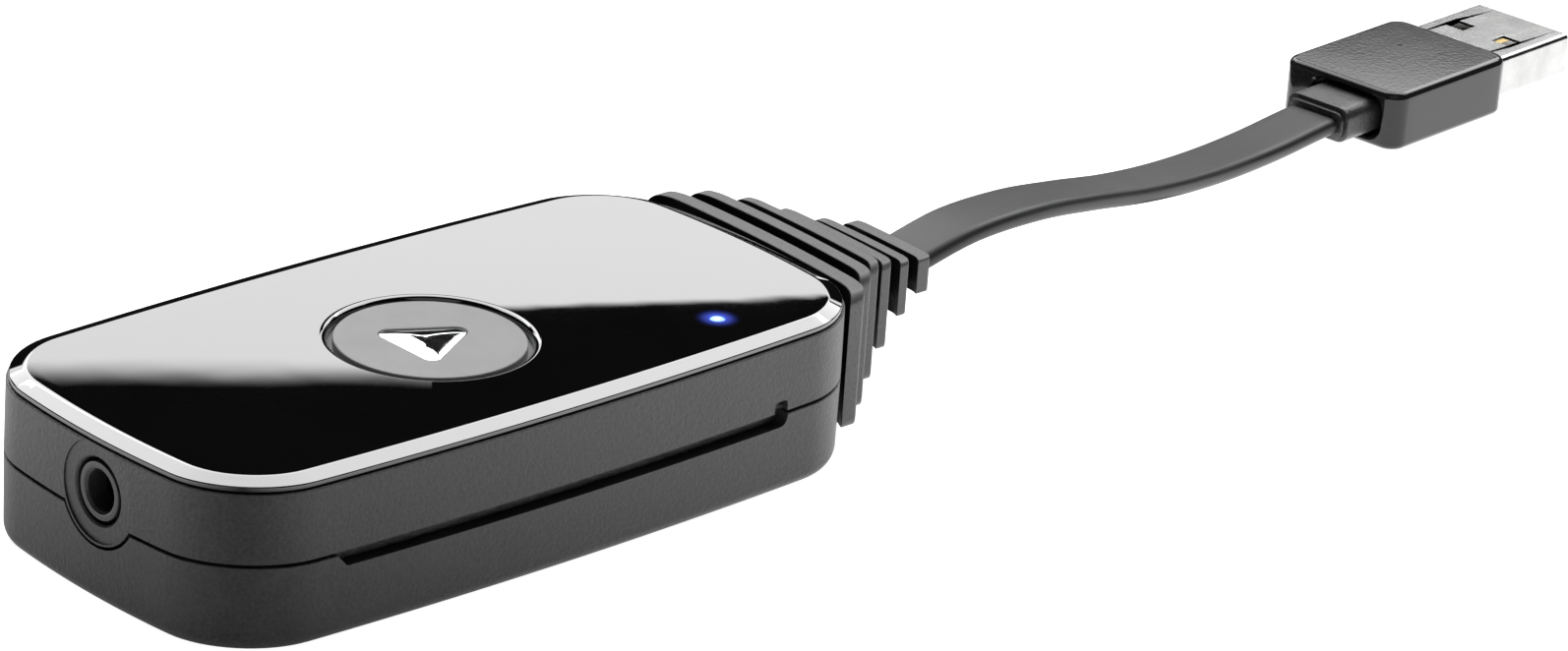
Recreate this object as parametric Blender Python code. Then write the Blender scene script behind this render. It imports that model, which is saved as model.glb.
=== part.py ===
"""Bluetooth audio receiver: a palm-sized casing with a push button, a headphone jack and a USB lead.

Frame: metres, +Z up, +X from the jack end to the cable end, origin at the centre of the casing's base.
"""
import math

import bmesh
import bpy
from mathutils import Matrix, Vector

MM = 0.001
GAP = 0.3 * MM

# Casing
LENGTH = 75.0 * MM
WIDTH = 38.4 * MM
END_BOW = 1.75 * MM
SIDE_BOW = 1.3 * MM
CORNER_R = 7.9 * MM
FOOT_R = 1.2 * MM
PARTING_Z = 7.8 * MM
RIM_Z = 14.2 * MM
DRAFT = 0.01
WALL = 1.6 * MM
FLOOR = 1.4 * MM
LIP = 0.9 * MM
DECK_TOP = 13.4 * MM
DECK_UNDER = 12.4 * MM

# Top plate
PLATE_TOP = 15.25 * MM
PLATE_EDGE_Z = 14.75 * MM
PLATE_INSET = 0.3 * MM
PLATE_BEVEL = 1.45 * MM

# Push button
BUTTON_X = -1.8 * MM
BUTTON_Y = -1.4 * MM
BUTTON_R = 8.4 * MM
BUTTON_HOLE_R = 8.9 * MM
BUTTON_TOP = 15.1 * MM
BUTTON_TRAVEL = 0.4 * MM
FLANGE_UNDER = DECK_TOP + BUTTON_TRAVEL + 0.15 * MM
FLANGE_T = 0.2 * MM
FLANGE_R = 9.6 * MM

# Indicator lamp
LAMP_X = 21.5 * MM
LAMP_Y = -12.4 * MM
LAMP_R = 0.7 * MM

# Headphone jack
JACK_Y = -1.5 * MM
JACK_Z = 10.1 * MM
JACK_HOLE_R = 2.95 * MM
JACK_BARREL_R = 2.6 * MM
JACK_BORE_R = 1.8 * MM
LOBE_R = 4.7 * MM

# Side slot and its end notch
SLOT_X0 = -25.8 * MM
SLOT_X1 = 24.8 * MM
SLOT_LOW = 6.5 * MM
SLOT_DEPTH = 0.85 * MM
NOTCH_X0 = 23.1 * MM
NOTCH_X1 = 24.7 * MM
NOTCH_TOP = 9.0 * MM

# Circuit board
BOARD_TOP = 7.1 * MM
BOARD_T = 1.0 * MM
SEAT = 0.15 * MM

# Board posts, and what stands on the board: name, centre, size and kind, in millimetres
BOARD_POSTS = ((-16.0, 12.5), (27.0, 12.0))
BOARD_PARTS = (
    ("radio_module", (13.0, 4.0), (13.0, 10.0, 0.8), "board"),
    ("audio_chip", (-16.0, 5.5), (5.0, 5.0, 0.9), "chip"),
    ("power_chip", (19.5, -6.0), (3.0, 1.7, 1.1), "chip"),
    ("crystal", (3.0, 9.5), (3.2, 2.5, 0.8), "can"),
    ("chip_antenna", (25.0, 4.0), (2.0, 7.0, 1.0), "ceramic"),
    ("filter_coil", (14.0, -6.5), (3.0, 3.0, 1.6), "coil"),
)
CAN_CAPACITORS = (
    ("output_capacitor_1", -14.5, -6.5),
    ("output_capacitor_2", -14.5, -11.5),
    ("supply_capacitor", 9.0, -11.0),
)

# Strain relief: each fin is (far face x, thickness, half width, low z, high z)
FINS = (
    (40.1, 1.8, 14.3, 1.4, 14.55),
    (42.55, 1.5, 12.05, 1.8, 14.75),
    (45.4, 1.15, 9.65, 2.8, 14.15),
    (48.5, 1.2, 7.8, 4.4, 12.9),
    (52.1, 1.1, 6.25, 6.2, 11.6),
    (55.6, 1.5, 5.3, 7.35, 10.85),
)
FIN_TURN = 0.052
FIN_BOW_R = 160.0 * MM
FIN_END = 0.21
RELIEF_TIP = 55.6 * MM
RELIEF_Y = 0.0

# Flat cable
CABLE_W = 6.2 * MM
CABLE_T = 1.7 * MM
CABLE_Y = -0.35 * MM
CABLE_Z = 8.9 * MM
CABLE_STEPS = 34

# USB plug
PLUG_TIP = Vector((164.0 * MM, 16.0 * MM, 0.0))
PLUG_YAW = math.radians(4.4)
SHELL_L = 12.3 * MM
SHELL_W = 12.0 * MM
SHELL_H = 4.5 * MM
SHELL_T = 0.35 * MM
MOULD_L = 19.4 * MM
MOULD_W = 15.0 * MM
MOULD_H = 6.2 * MM
NECK_L = 5.0 * MM
NECK_Y = -0.9 * MM


def material(name, rgb, roughness, metallic=0.0, glow=0.0):
    mat = bpy.data.materials.new(name)
    mat.use_nodes = True
    shader = mat.node_tree.nodes["Principled BSDF"]
    shader.inputs["Base Color"].default_value = (*rgb, 1.0)
    shader.inputs["Roughness"].default_value = roughness
    shader.inputs["Metallic"].default_value = metallic
    if glow:
        shader.inputs["Emission Color"].default_value = (*rgb, 1.0)
        shader.inputs["Emission Strength"].default_value = glow
    return mat


def solid(name, bm, mat):
    """A mesh object from a bmesh, with its faces pointing out and its curved faces smooth."""
    bmesh.ops.recalc_face_normals(bm, faces=bm.faces)
    mesh = bpy.data.meshes.new(name)
    bm.to_mesh(mesh)
    bm.free()
    mesh.shade_smooth()
    mesh.set_sharp_from_angle(angle=math.radians(30))
    obj = bpy.data.objects.new(name, mesh)
    bpy.context.scene.collection.objects.link(obj)
    if mat:
        mesh.materials.append(mat)
    return obj


def loft(name, rings, mat):
    """Skin closed rings of equal length in order, and cap the first and the last."""
    bm = bmesh.new()
    made = [[bm.verts.new(p) for p in ring] for ring in rings]
    count = len(made[0])
    for low, high in zip(made, made[1:]):
        for i in range(count):
            j = (i + 1) % count
            bm.faces.new((low[i], low[j], high[j], high[i]))
    bm.faces.new(made[0])
    bm.faces.new(made[-1])
    return solid(name, bm, mat)


def box(name, low, high, mat=None):
    bm = bmesh.new()
    bmesh.ops.create_cube(bm, size=1.0)
    low = Vector(low) * MM
    high = Vector(high) * MM
    for v in bm.verts:
        v.co = Vector([low[k] + (v.co[k] + 0.5) * (high[k] - low[k]) for k in range(3)])
    return solid(name, bm, mat)


def round_box(name, low, high, width, mat, segments=2):
    obj = box(name, low, high, mat)
    bevel = obj.modifiers.new("edges", "BEVEL")
    bevel.width = width * MM
    bevel.segments = segments
    return obj


def turned(name, profile, mat=None, segments=32, centre=(0.0, 0.0, 0.0), axis="Z"):
    """A lathed body from (radius, height) pairs in millimetres, closed at both ends."""
    rings = []
    for radius, height in profile:
        ring = []
        for k in range(segments):
            turn = 2.0 * math.pi * k / segments
            ring.append((radius * MM * math.cos(turn), radius * MM * math.sin(turn), height * MM))
        rings.append(ring)
    obj = loft(name, rings, mat)
    if axis == "X":
        obj.data.transform(Matrix.Rotation(math.radians(90), 4, "Y"))
    obj.location = [c for c in centre]
    return obj


def ring_tube(name, outer, inner, x0, x1, mat, segments=32, chamfer=0.0):
    """A tube along X whose bore opens at x0 with an optional chamfer. Sizes in millimetres."""
    profile = [(inner, x1), (outer, x1), (outer, x0), (inner + chamfer, x0), (inner, x0 + chamfer)]
    if chamfer == 0.0:
        profile = profile[:4]
    bm = bmesh.new()
    rings = []
    for radius, x in profile:
        ring = []
        for k in range(segments):
            turn = 2.0 * math.pi * k / segments
            ring.append(bm.verts.new((x * MM, radius * MM * math.cos(turn), radius * MM * math.sin(turn))))
        rings.append(ring)
    for a, b in zip(rings, rings[1:] + rings[:1]):
        for i in range(segments):
            j = (i + 1) % segments
            bm.faces.new((a[i], a[j], b[j], b[i]))
    return solid(name, bm, mat)


def cutter(obj):
    obj.hide_render = True
    obj.display_type = "WIRE"
    return obj


def cut(obj, tool, operation="DIFFERENCE"):
    mod = obj.modifiers.new(tool.name, "BOOLEAN")
    mod.operation = operation
    mod.object = cutter(tool)


def arc(cx, cy, radius, start, steps):
    """Quarter-circle points from the start angle, anticlockwise."""
    turns = [start + 0.5 * math.pi * k / steps for k in range(steps + 1)]
    return [(cx + radius * math.cos(t), cy + radius * math.sin(t)) for t in turns]


def between(a, b, count):
    return [(a[0] + (b[0] - a[0]) * k / count, a[1] + (b[1] - a[1]) * k / count) for k in range(1, count)]


def bowed(x, y):
    """Push a point of the straight-sided outline out to the gently bowed sides and ends."""
    half_l = 0.5 * LENGTH - END_BOW
    half_w = 0.5 * WIDTH - SIDE_BOW
    out_x = END_BOW * max(0.0, 1.0 - (y / half_w) ** 2) * max(-1.0, min(1.0, x / half_l))
    out_y = SIDE_BOW * max(0.0, 1.0 - (x / half_l) ** 2) * max(-1.0, min(1.0, y / half_w))
    return x + out_x, y + out_y


def plan(inset, corner=6, long_side=8, short_side=4):
    """The casing's outline seen from above, moved in by the inset."""
    half_l = 0.5 * LENGTH - END_BOW - inset
    half_w = 0.5 * WIDTH - SIDE_BOW - inset
    r = max(CORNER_R - inset, 0.5 * MM)
    cx = half_l - r
    cy = half_w - r
    arcs = [
        arc(cx, cy, r, 0.0, corner),
        arc(-cx, cy, r, 0.5 * math.pi, corner),
        arc(-cx, -cy, r, math.pi, corner),
        arc(cx, -cy, r, 1.5 * math.pi, corner),
    ]
    points = []
    for k in range(4):
        after = arcs[(k + 1) % 4]
        points += arcs[k]
        points += between(arcs[k][-1], after[0], long_side if k % 2 == 0 else short_side)
    return [bowed(x, y) for x, y in points]


def level(inset, z):
    return [(x, y, z) for x, y in plan(inset)]


def side_y(x):
    """Y of the casing's near long side at x."""
    return -bowed(x, 0.5 * WIDTH - SIDE_BOW)[1]


def rounded_rect(width, height, radius, corner=4, top=0):
    """Rounded rectangle about the origin, with extra points along its two wide sides."""
    cx = 0.5 * width - radius
    cy = 0.5 * height - radius
    points = arc(cx, cy, radius, 0.0, corner)
    points += between((cx, 0.5 * height), (-cx, 0.5 * height), top + 1) if top else []
    points += arc(-cx, cy, radius, 0.5 * math.pi, corner)
    points += arc(-cx, -cy, radius, math.pi, corner)
    points += between((-cx, -0.5 * height), (cx, -0.5 * height), top + 1) if top else []
    points += arc(cx, -cy, radius, 1.5 * math.pi, corner)
    return points


def lengthwise_cylinder(name, radius, x0, x1, y, z, segments=48):
    profile = [(radius / MM, x0 / MM), (radius / MM, x1 / MM)]
    return turned(name, profile, None, segments, (0.0, y, z), "X")


def build_lower_shell(mat):
    rings = []
    for k in range(5):
        turn = 0.5 * math.pi * k / 4
        inset = FOOT_R * (1.0 - math.sin(turn)) + DRAFT * PARTING_Z
        rings.append(level(inset, FOOT_R * (1.0 - math.cos(turn))))
    top = PARTING_Z - 0.5 * GAP
    rings.append(level(0.0, top))
    rings.append(level(LIP, top))
    rings.append(level(LIP, top + 1.0 * MM))
    rings.append(level(WALL, top + 1.0 * MM))
    rings.append(level(WALL, FLOOR + 0.8 * MM))
    rings.append(level(WALL + 0.8 * MM, FLOOR))
    shell = loft("lower_shell", rings, mat)

    post_low = 1.0
    for index, (x, y) in enumerate(BOARD_POSTS):
        profile = [(2.0, post_low), (2.0, 5.8), (0.75, 5.8), (0.75, 2.2)]
        post = turned("cut_post_%d" % index, profile, None, 20, (x * MM, y * MM, 0.0))
        cut(shell, post, "UNION")

    lobe = lengthwise_cylinder("cut_lower_lobe", LOBE_R + GAP, -42.0 * MM, -33.0 * MM, JACK_Y, JACK_Z)
    cut(shell, lobe)
    cut(shell, slot_tool("cut_slot", SLOT_X0, SLOT_X1, SLOT_LOW, 7.9 * MM))
    cut(shell, relief_opening("cut_lower_outlet"))
    return shell


def slot_tool(name, x0, x1, z0, z1):
    """A strip that follows the bowed side, from outside the wall to the slot's depth."""
    steps = 8
    xs = [x0 + (x1 - x0) * k / steps for k in range(steps + 1)]
    edge = [(x, side_y(x) + SLOT_DEPTH) for x in xs]
    edge += [(x, side_y(x) - 2.0 * MM) for x in reversed(xs)]
    return loft(name, [[(x, y, z0) for x, y in edge], [(x, y, z1) for x, y in edge]], None)


def relief_opening(name):
    return box(name, (34.0, RELIEF_Y / MM - 5.4, 5.2), (40.0, RELIEF_Y / MM + 5.4, 11.2))


def build_upper_shell(mat):
    bottom = 4.5 * MM
    thin = LIP - GAP
    rings = [
        level(WALL, DECK_UNDER),
        level(WALL, PARTING_Z + 1.3 * MM),
        level(thin, PARTING_Z + 1.3 * MM),
        level(thin, bottom),
        level(0.0, bottom),
        level(0.0, PARTING_Z),
        level(DRAFT * (RIM_Z - PARTING_Z), RIM_Z - 0.35 * MM),
        level(0.1 * MM + DRAFT * (RIM_Z - PARTING_Z), RIM_Z - 0.12 * MM),
        level(0.35 * MM, RIM_Z),
        level(WALL, RIM_Z),
        level(WALL, DECK_TOP),
    ]
    shell = loft("upper_shell", rings, mat)

    below = box("cut_below_parting", (-50.0, -30.0, -1.0), (50.0, 30.0, (PARTING_Z + 0.5 * GAP) / MM))
    keep = lengthwise_cylinder("cut_lobe_keep", LOBE_R, -42.0 * MM, -30.0 * MM, JACK_Y, JACK_Z)
    cut(below, keep)
    cut(shell, below)
    hole = lengthwise_cylinder("cut_jack_hole", JACK_HOLE_R, -42.0 * MM, -33.0 * MM, JACK_Y, JACK_Z, 40)
    cut(shell, hole)
    face = lengthwise_cylinder("cut_jack_face", LOBE_R - 0.2 * MM, -42.0 * MM, -37.3 * MM, JACK_Y, JACK_Z)
    cut(shell, face)
    cut(shell, slot_tool("cut_notch", NOTCH_X0, NOTCH_X1, 7.0 * MM, NOTCH_TOP))
    cut(shell, relief_opening("cut_upper_outlet"))

    stem = turned("cut_stem_way", [(2.4, 11.0), (2.4, 14.0)], None, 24, (BUTTON_X, BUTTON_Y, 0.0))
    cut(shell, stem)
    lamp = turned("cut_lamp_way", [(1.5, 11.0), (1.5, 14.0)], None, 24, (LAMP_X, LAMP_Y, 0.0))
    cut(shell, lamp)
    return shell


def build_top_plate(mat):
    step = WALL + GAP
    lip_under = RIM_Z + GAP
    rings = [
        level(step, DECK_TOP + GAP),
        level(step, lip_under),
        level(PLATE_INSET + 0.1 * MM, lip_under),
        level(PLATE_INSET, lip_under + 0.08 * MM),
        level(PLATE_INSET, PLATE_EDGE_Z),
        level(PLATE_INSET + PLATE_BEVEL, PLATE_TOP),
    ]
    plate = loft("top_plate", rings, mat)
    hole_r = BUTTON_HOLE_R / MM
    dish_r = hole_r + 0.55
    profile = [(hole_r, 12.0), (hole_r, 14.85), (hole_r + 0.15, 15.05), (dish_r, 15.25), (dish_r, 16.0)]
    at = (BUTTON_X, BUTTON_Y, 0.0)
    cut(plate, turned("cut_button_hole", profile, None, 64, at))
    room_r = FLANGE_R / MM + 0.4
    room_top = (FLANGE_UNDER + FLANGE_T) / MM + 0.3
    cut(plate, turned("cut_flange_room", [(room_r, 13.0), (room_r, room_top)], None, 64, at))
    lamp_profile = [(LAMP_R / MM + 0.2, 13.0), (LAMP_R / MM + 0.2, 16.0)]
    cut(plate, turned("cut_lamp_hole", lamp_profile, None, 24, (LAMP_X, LAMP_Y, 0.0)))
    return plate


def play_outline(grow):
    """A play triangle with rounded corners, pointing along +X, grown by a margin."""
    corners = [Vector((-3.1, 4.3)) * MM, Vector((-3.1, -4.3)) * MM, Vector((4.7, 0.0)) * MM]
    radius = 0.9 * MM
    points = []
    for k, corner in enumerate(corners):
        before = (corners[k - 1] - corner).normalized()
        after = (corners[(k + 1) % 3] - corner).normalized()
        half = 0.5 * before.angle(after)
        centre = corner + (before + after).normalized() * radius / math.sin(half)
        start = before.orthogonal()
        if start.dot(centre - corner) > 0.0:
            start = -start
        end = after.orthogonal()
        if end.dot(centre - corner) > 0.0:
            end = -end
        for step in range(7):
            mix = step / 6.0
            points.append(centre + start.slerp(end, mix) * (radius + grow))
    return points


def build_button(metal, chrome):
    top = BUTTON_TOP / MM
    radius = BUTTON_R / MM
    flange = FLANGE_R / MM
    under = FLANGE_UNDER / MM
    over = under + FLANGE_T / MM
    profile = [
        (1.4, 10.85),
        (1.5, 10.95),
        (1.5, under - 0.3),
        (2.1, under),
        (flange, under),
        (flange, over),
        (radius, over),
        (radius, top - 0.18),
        (radius - 0.05, top - 0.05),
        (radius - 0.2, top),
    ]
    cap = turned("button_cap", profile, metal, 64, (BUTTON_X, BUTTON_Y, 0.0))
    floor = BUTTON_TOP - 0.4 * MM
    pocket = [[(p.x, p.y, z) for p in play_outline(0.12 * MM)] for z in (floor, BUTTON_TOP + 1.0 * MM)]
    recess = loft("cut_symbol_seat", pocket, None)
    recess.location = (BUTTON_X, BUTTON_Y, 0.0)
    cut(cap, recess)

    rings = []
    for shrink, rise in ((0.0, 0.12), (0.0, 0.45), (0.12, 0.6), (0.35, 0.72), (0.7, 0.8)):
        z = floor + rise * MM
        rings.append([(p.x, p.y, z) for p in play_outline(-shrink * MM)])
    symbol = loft("play_symbol", rings, chrome)
    symbol.location = (BUTTON_X, BUTTON_Y, 0.0)
    return [cap, symbol]


def build_switch(plastic, steel):
    x = BUTTON_X / MM
    y = BUTTON_Y / MM
    base = BOARD_TOP / MM + SEAT / MM
    round_box("switch_base", (x - 3.0, y - 3.0, base), (x + 3.0, y + 3.0, base + 1.9), 0.15, plastic, 1)
    profile = [(1.7, base + 2.4), (1.7, 10.5), (1.5, 10.7)]
    plunger = turned("switch_plunger", profile, steel, 24, (BUTTON_X, BUTTON_Y, 0.0))
    return plunger


def build_lamp(lens_mat, chip_mat):
    x = LAMP_X / MM
    y = LAMP_Y / MM
    base = BOARD_TOP / MM + SEAT / MM
    round_box("lamp_chip", (x - 0.8, y - 0.5, base), (x + 0.8, y + 0.5, base + 0.6), 0.08, chip_mat, 1)
    profile = [(1.1, 8.2), (1.1, 13.0), (LAMP_R / MM, 13.3), (LAMP_R / MM, 15.22)]
    turned("lamp_lens", profile, lens_mat, 24, (LAMP_X, LAMP_Y, 0.0))


def build_board(mat):
    inset = WALL + 0.7 * MM
    under = BOARD_TOP - BOARD_T
    board = loft("circuit_board", [level(inset, under), level(inset, BOARD_TOP)], mat)
    cut(board, box("cut_board_end", (32.6, -30.0, 0.0), (60.0, 30.0, 12.0)))
    cut(board, box("cut_board_front", (-60.0, -30.0, 0.0), (-35.1, 30.0, 12.0)))
    for index, (x, y) in enumerate(BOARD_POSTS):
        hole = turned("cut_board_hole_%d" % index, [(1.3, 5.0), (1.3, 8.0)], None, 20, (x * MM, y * MM, 0.0))
        cut(board, hole)


def build_screw(index, x, y, mat):
    head = BOARD_TOP / MM + SEAT / MM
    profile = [(0.5, 2.6), (0.6, 2.9), (0.6, head), (1.8, head), (1.9, head + 0.5), (1.5, head + 0.9)]
    screw = turned("board_screw_%d" % index, profile, mat, 20, (x * MM, y * MM, 0.0))
    tool = "cut_screw_%d_" % index
    long_way = box(tool + "a", (-0.9, -0.18, head + 0.45), (0.9, 0.18, head + 2.0))
    cross_way = box(tool + "b", (-0.18, -0.9, head + 0.45), (0.18, 0.9, head + 2.0))
    for way in (long_way, cross_way):
        way.location = (x * MM, y * MM, 0.0)
        cut(screw, way)


def build_electronics(mats):
    base = BOARD_TOP / MM + SEAT / MM
    for name, (x, y), (sx, sy, sz), kind in BOARD_PARTS:
        low = (x - 0.5 * sx, y - 0.5 * sy, base)
        high = (x + 0.5 * sx, y + 0.5 * sy, base + sz)
        round_box(name, low, high, 0.08, mats[kind], 1)
    for name, x, y in CAN_CAPACITORS:
        profile = [(1.8, base), (2.0, base + 0.2), (2.0, base + 0.6), (1.85, base + 0.75)]
        profile += [(2.0, base + 0.9), (2.0, base + 4.1), (1.8, base + 4.3)]
        turned(name, profile, mats["can"], 24, (x * MM, y * MM, 0.0))


def build_jack(plastic, dark, contact):
    y = JACK_Y / MM
    z = JACK_Z / MM
    barrel = ring_tube("jack_barrel", JACK_BARREL_R / MM, JACK_BORE_R / MM, -37.2, -35.0, dark, 40, 0.15)
    barrel.location = (0.0, JACK_Y, JACK_Z)
    base = BOARD_TOP / MM + SEAT / MM
    body = box("jack_body", (-34.7, y - 3.0, base), (-22.7, y + 3.0, 12.1), plastic)
    cut(body, lengthwise_cylinder("cut_jack_bore", JACK_BORE_R, -36.0 * MM, -23.7 * MM, JACK_Y, JACK_Z, 24))
    for name, x, side in (("sleeve", -33.2, -1), ("ring", -29.6, 1), ("tip", -25.6, -1)):
        near = y + side * 3.15
        far = y + side * 3.4
        low = (x - 0.6, min(near, far), base)
        high = (x + 0.6, max(near, far), z + 1.0)
        leg = box("jack_%s_contact" % name, low, high, contact)
        foot_far = y + side * 4.2
        foot_low = (x - 0.6, min(near, foot_far), base)
        foot_high = (x + 0.6, max(near, foot_far), base + 0.2)
        cut(leg, box("cut_%s_foot" % name, foot_low, foot_high), "UNION")


def fin_shift(across, half_w):
    """How far a fin's faces stand forward at a distance across: a slight turn, a bow and rounded ends."""
    reach = FIN_END * half_w
    over = max(0.0, abs(across) - (half_w - reach))
    r = 1.45 * reach
    drop = r - math.sqrt(r * r - min(over, reach) ** 2)
    return FIN_TURN * across - across * across / (2.0 * FIN_BOW_R) - drop


def relief_ring(x, half_w, z0, z1, radius, fin_w=0.0):
    """A rounded rectangle across the cable's axis, on a fin's curved face where its half width is given."""
    points = rounded_rect(2.0 * half_w, z1 - z0, radius, 3, 9)
    middle = 0.5 * (z0 + z1)
    flat = half_w - radius
    ring = []
    for across, rise in points:
        if abs(across) < flat:
            across = flat * math.sin(0.5 * math.pi * across / flat)
        ahead = fin_shift(across, fin_w) if fin_w else 0.0
        ring.append((x + ahead, RELIEF_Y + across, middle + rise))
    return ring


def build_strain_relief(rubber):
    rings = []
    for x in (33.7, 35.1):
        rings.append(relief_ring(x * MM, 6.6 * MM, 4.3 * MM, 12.1 * MM, 1.0 * MM))
    rings.append(relief_ring(35.1 * MM, 5.0 * MM, 5.6 * MM, 10.8 * MM, 0.9 * MM))
    last = len(FINS) - 1
    for index, (far, thick, half_w, z0, z1) in enumerate(FINS):
        taper = index / last
        core = ((5.0 - 1.6 * taper) * MM, (5.6 + 2.2 * taper) * MM, (10.8 - 0.5 * taper) * MM, 0.9 * MM)
        corner = (0.9 - 0.3 * taper) * MM
        soft = 0.2 * MM
        wide = half_w * MM
        inner = (wide - soft, z0 * MM + soft, z1 * MM - soft, corner)
        outer = (wide, z0 * MM, z1 * MM, corner)
        rim = 0.11 * (z1 - z0) * MM
        bend = ((1.0 - FIN_END) * wide, z0 * MM + rim, z1 * MM - rim, corner)
        near = (far - thick) * MM
        rings.append(relief_ring(near, *core, wide))
        rings.append(relief_ring(near, *bend, wide))
        rings.append(relief_ring(near, *inner, wide))
        rings.append(relief_ring(near + soft, *outer, wide))
        rings.append(relief_ring(far * MM - soft, *outer, wide))
        rings.append(relief_ring(far * MM, *inner, wide))
        rings.append(relief_ring(far * MM, *bend, wide))
        if index < last:
            rings.append(relief_ring(far * MM, *core, wide))
    return loft("strain_relief", rings, rubber)


def plug_point(along, across, z):
    """A point given in the plug's own frame, with its tip at zero and its back at negative values."""
    c = math.cos(PLUG_YAW)
    s = math.sin(PLUG_YAW)
    return Vector((PLUG_TIP.x + c * along - s * across, PLUG_TIP.y + s * along + c * across, z))


def cable_route():
    """The cable's centre line: level out of the relief, a low arch, a sag, and level into the neck."""
    start = Vector((RELIEF_TIP + GAP, CABLE_Y, CABLE_Z))
    neck_end = -(SHELL_L + MOULD_L + NECK_L)
    end = plug_point(neck_end - GAP, NECK_Y, 3.05 * MM)
    heading = Vector((math.cos(PLUG_YAW), math.sin(PLUG_YAW), 0.0))
    knots = [
        start - Vector((3.0 * MM, 0.0, 0.5 * MM)),
        start,
        Vector((63.3, -0.3, 10.35)) * MM,
        Vector((72.5, 0.8, 9.9)) * MM,
        Vector((81.5, 2.45, 8.3)) * MM,
        Vector((90.5, 4.45, 6.3)) * MM,
        Vector((99.5, 6.7, 4.6)) * MM,
        Vector((108.5, 8.9, 3.4)) * MM,
        Vector((117.5, 10.8, 2.85)) * MM,
        end,
        end + heading * 8.0 * MM,
    ]
    points = []
    for k in range(1, len(knots) - 2):
        a, b, c, d = knots[k - 1:k + 3]
        for step in range(8):
            t = step / 8.0
            pull = 2.0 * b + (c - a) * t + (2.0 * a - 5.0 * b + 4.0 * c - d) * t * t
            points.append(0.5 * (pull + (3.0 * b - a - 3.0 * c + d) * t ** 3))
    points.append(knots[-2])
    return points


def even_route(points, count):
    lengths = [0.0]
    for a, b in zip(points, points[1:]):
        lengths.append(lengths[-1] + (b - a).length)
    route = []
    for k in range(count + 1):
        want = lengths[-1] * k / count
        i = max(j for j in range(len(points) - 1) if lengths[j] <= want + 1e-12)
        share = (want - lengths[i]) / (lengths[i + 1] - lengths[i])
        route.append(points[i].lerp(points[i + 1], min(1.0, share)))
    return route


def build_cable(mat):
    route = even_route(cable_route(), CABLE_STEPS)
    section = rounded_rect(CABLE_W, CABLE_T, 0.49 * CABLE_T, 3)
    rings = []
    for k, at in enumerate(route):
        ahead = (route[min(k + 1, CABLE_STEPS)] - route[max(k - 1, 0)]).normalized()
        across = Vector((0.0, 0.0, 1.0)).cross(ahead).normalized()
        up = ahead.cross(across)
        rings.append([at + across * u + up * v for u, v in section])
    return loft("flat_cable", rings, mat)


def in_plug_frame(obj):
    obj.matrix_world = Matrix.Translation(PLUG_TIP) @ Matrix.Rotation(PLUG_YAW, 4, "Z")
    return obj


def build_plug(mats):
    mould_back = -(SHELL_L + MOULD_L)
    outline = rounded_rect(MOULD_L, MOULD_W, 2.0 * MM, 5)
    edge = 0.75 * MM
    rings = []
    for k in range(5):
        turn = 0.5 * math.pi * k / 4
        pull = edge * (1.0 - math.sin(turn))
        rings.append((pull, edge * (1.0 - math.cos(turn))))
    rings += [(pull, MOULD_H - z) for pull, z in reversed(rings)]
    middle = 0.5 * (mould_back - SHELL_L)
    skins = []
    for pull, z in rings:
        sx = 1.0 - 2.0 * pull / MOULD_L
        sy = 1.0 - 2.0 * pull / MOULD_W
        skins.append([(middle + x * sx, y * sy, z) for x, y in outline])
    mould = in_plug_frame(loft("plug_mould", skins, mats["mould"]))

    z_mid = 0.5 * MOULD_H
    socket_half_w = 0.5 * SHELL_W / MM + 0.3
    socket_low = (z_mid - 0.5 * SHELL_H) / MM - 0.3
    socket_high = (z_mid + 0.5 * SHELL_H) / MM + 0.3
    socket = box("cut_shell_socket", (-16.3, -socket_half_w, socket_low), (-11.0, socket_half_w, socket_high))
    cut(mould, in_plug_frame(socket))
    pocket = rounded_rect(9.2 * MM, 4.6 * MM, 1.6 * MM, 4)
    z_neck = 3.1 * MM
    back = [mould_back - 2.0 * MM, mould_back + 2.6 * MM]
    well = loft("cut_neck_well", [[(x, NECK_Y + u, z_neck + v) for u, v in pocket] for x in back], None)
    cut(mould, in_plug_frame(well))

    neck_end = mould_back - NECK_L
    rings = []
    root = NECK_L / MM + 2.3
    steps = ((0.0, 6.9, 2.7), (0.35, 7.0, 2.8), (0.35, 7.5, 3.4), (0.65, 7.8, 3.7), (root, 7.8, 3.7))
    for along, wide, high in steps:
        corner = 0.33 * high * MM
        section = rounded_rect(wide * MM, high * MM, corner, 4)
        rings.append([(neck_end + along * MM, NECK_Y + u, z_neck + v) for u, v in section])
    in_plug_frame(loft("plug_neck", rings, mats["neck"]))

    build_usb_shell(mats["nickel"], z_mid)
    tongue_low = (z_mid - 0.5 * SHELL_H + SHELL_T) / MM + 0.1
    tongue = box("usb_tongue", (-15.0, -5.4, tongue_low), (-0.7, 5.4, tongue_low + 1.8), mats["tongue"])
    in_plug_frame(tongue)
    for index, y in enumerate((-3.5, -1.0, 1.0, 3.5)):
        low = 8.7 if index in (0, 3) else 7.7
        groove_low = (-12.0, y - 0.6, tongue_low + 1.45)
        groove_high = (-0.6, y + 0.6, tongue_low + 3.0)
        cut(tongue, in_plug_frame(box("cut_groove_%d" % index, groove_low, groove_high)))
        low_corner = (-1.2 - low, y - 0.45, tongue_low + 1.55)
        high_corner = (-1.0, y + 0.45, tongue_low + 1.75)
        in_plug_frame(box("usb_contact_%d" % (index + 1), low_corner, high_corner, mats["gold"]))


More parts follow.
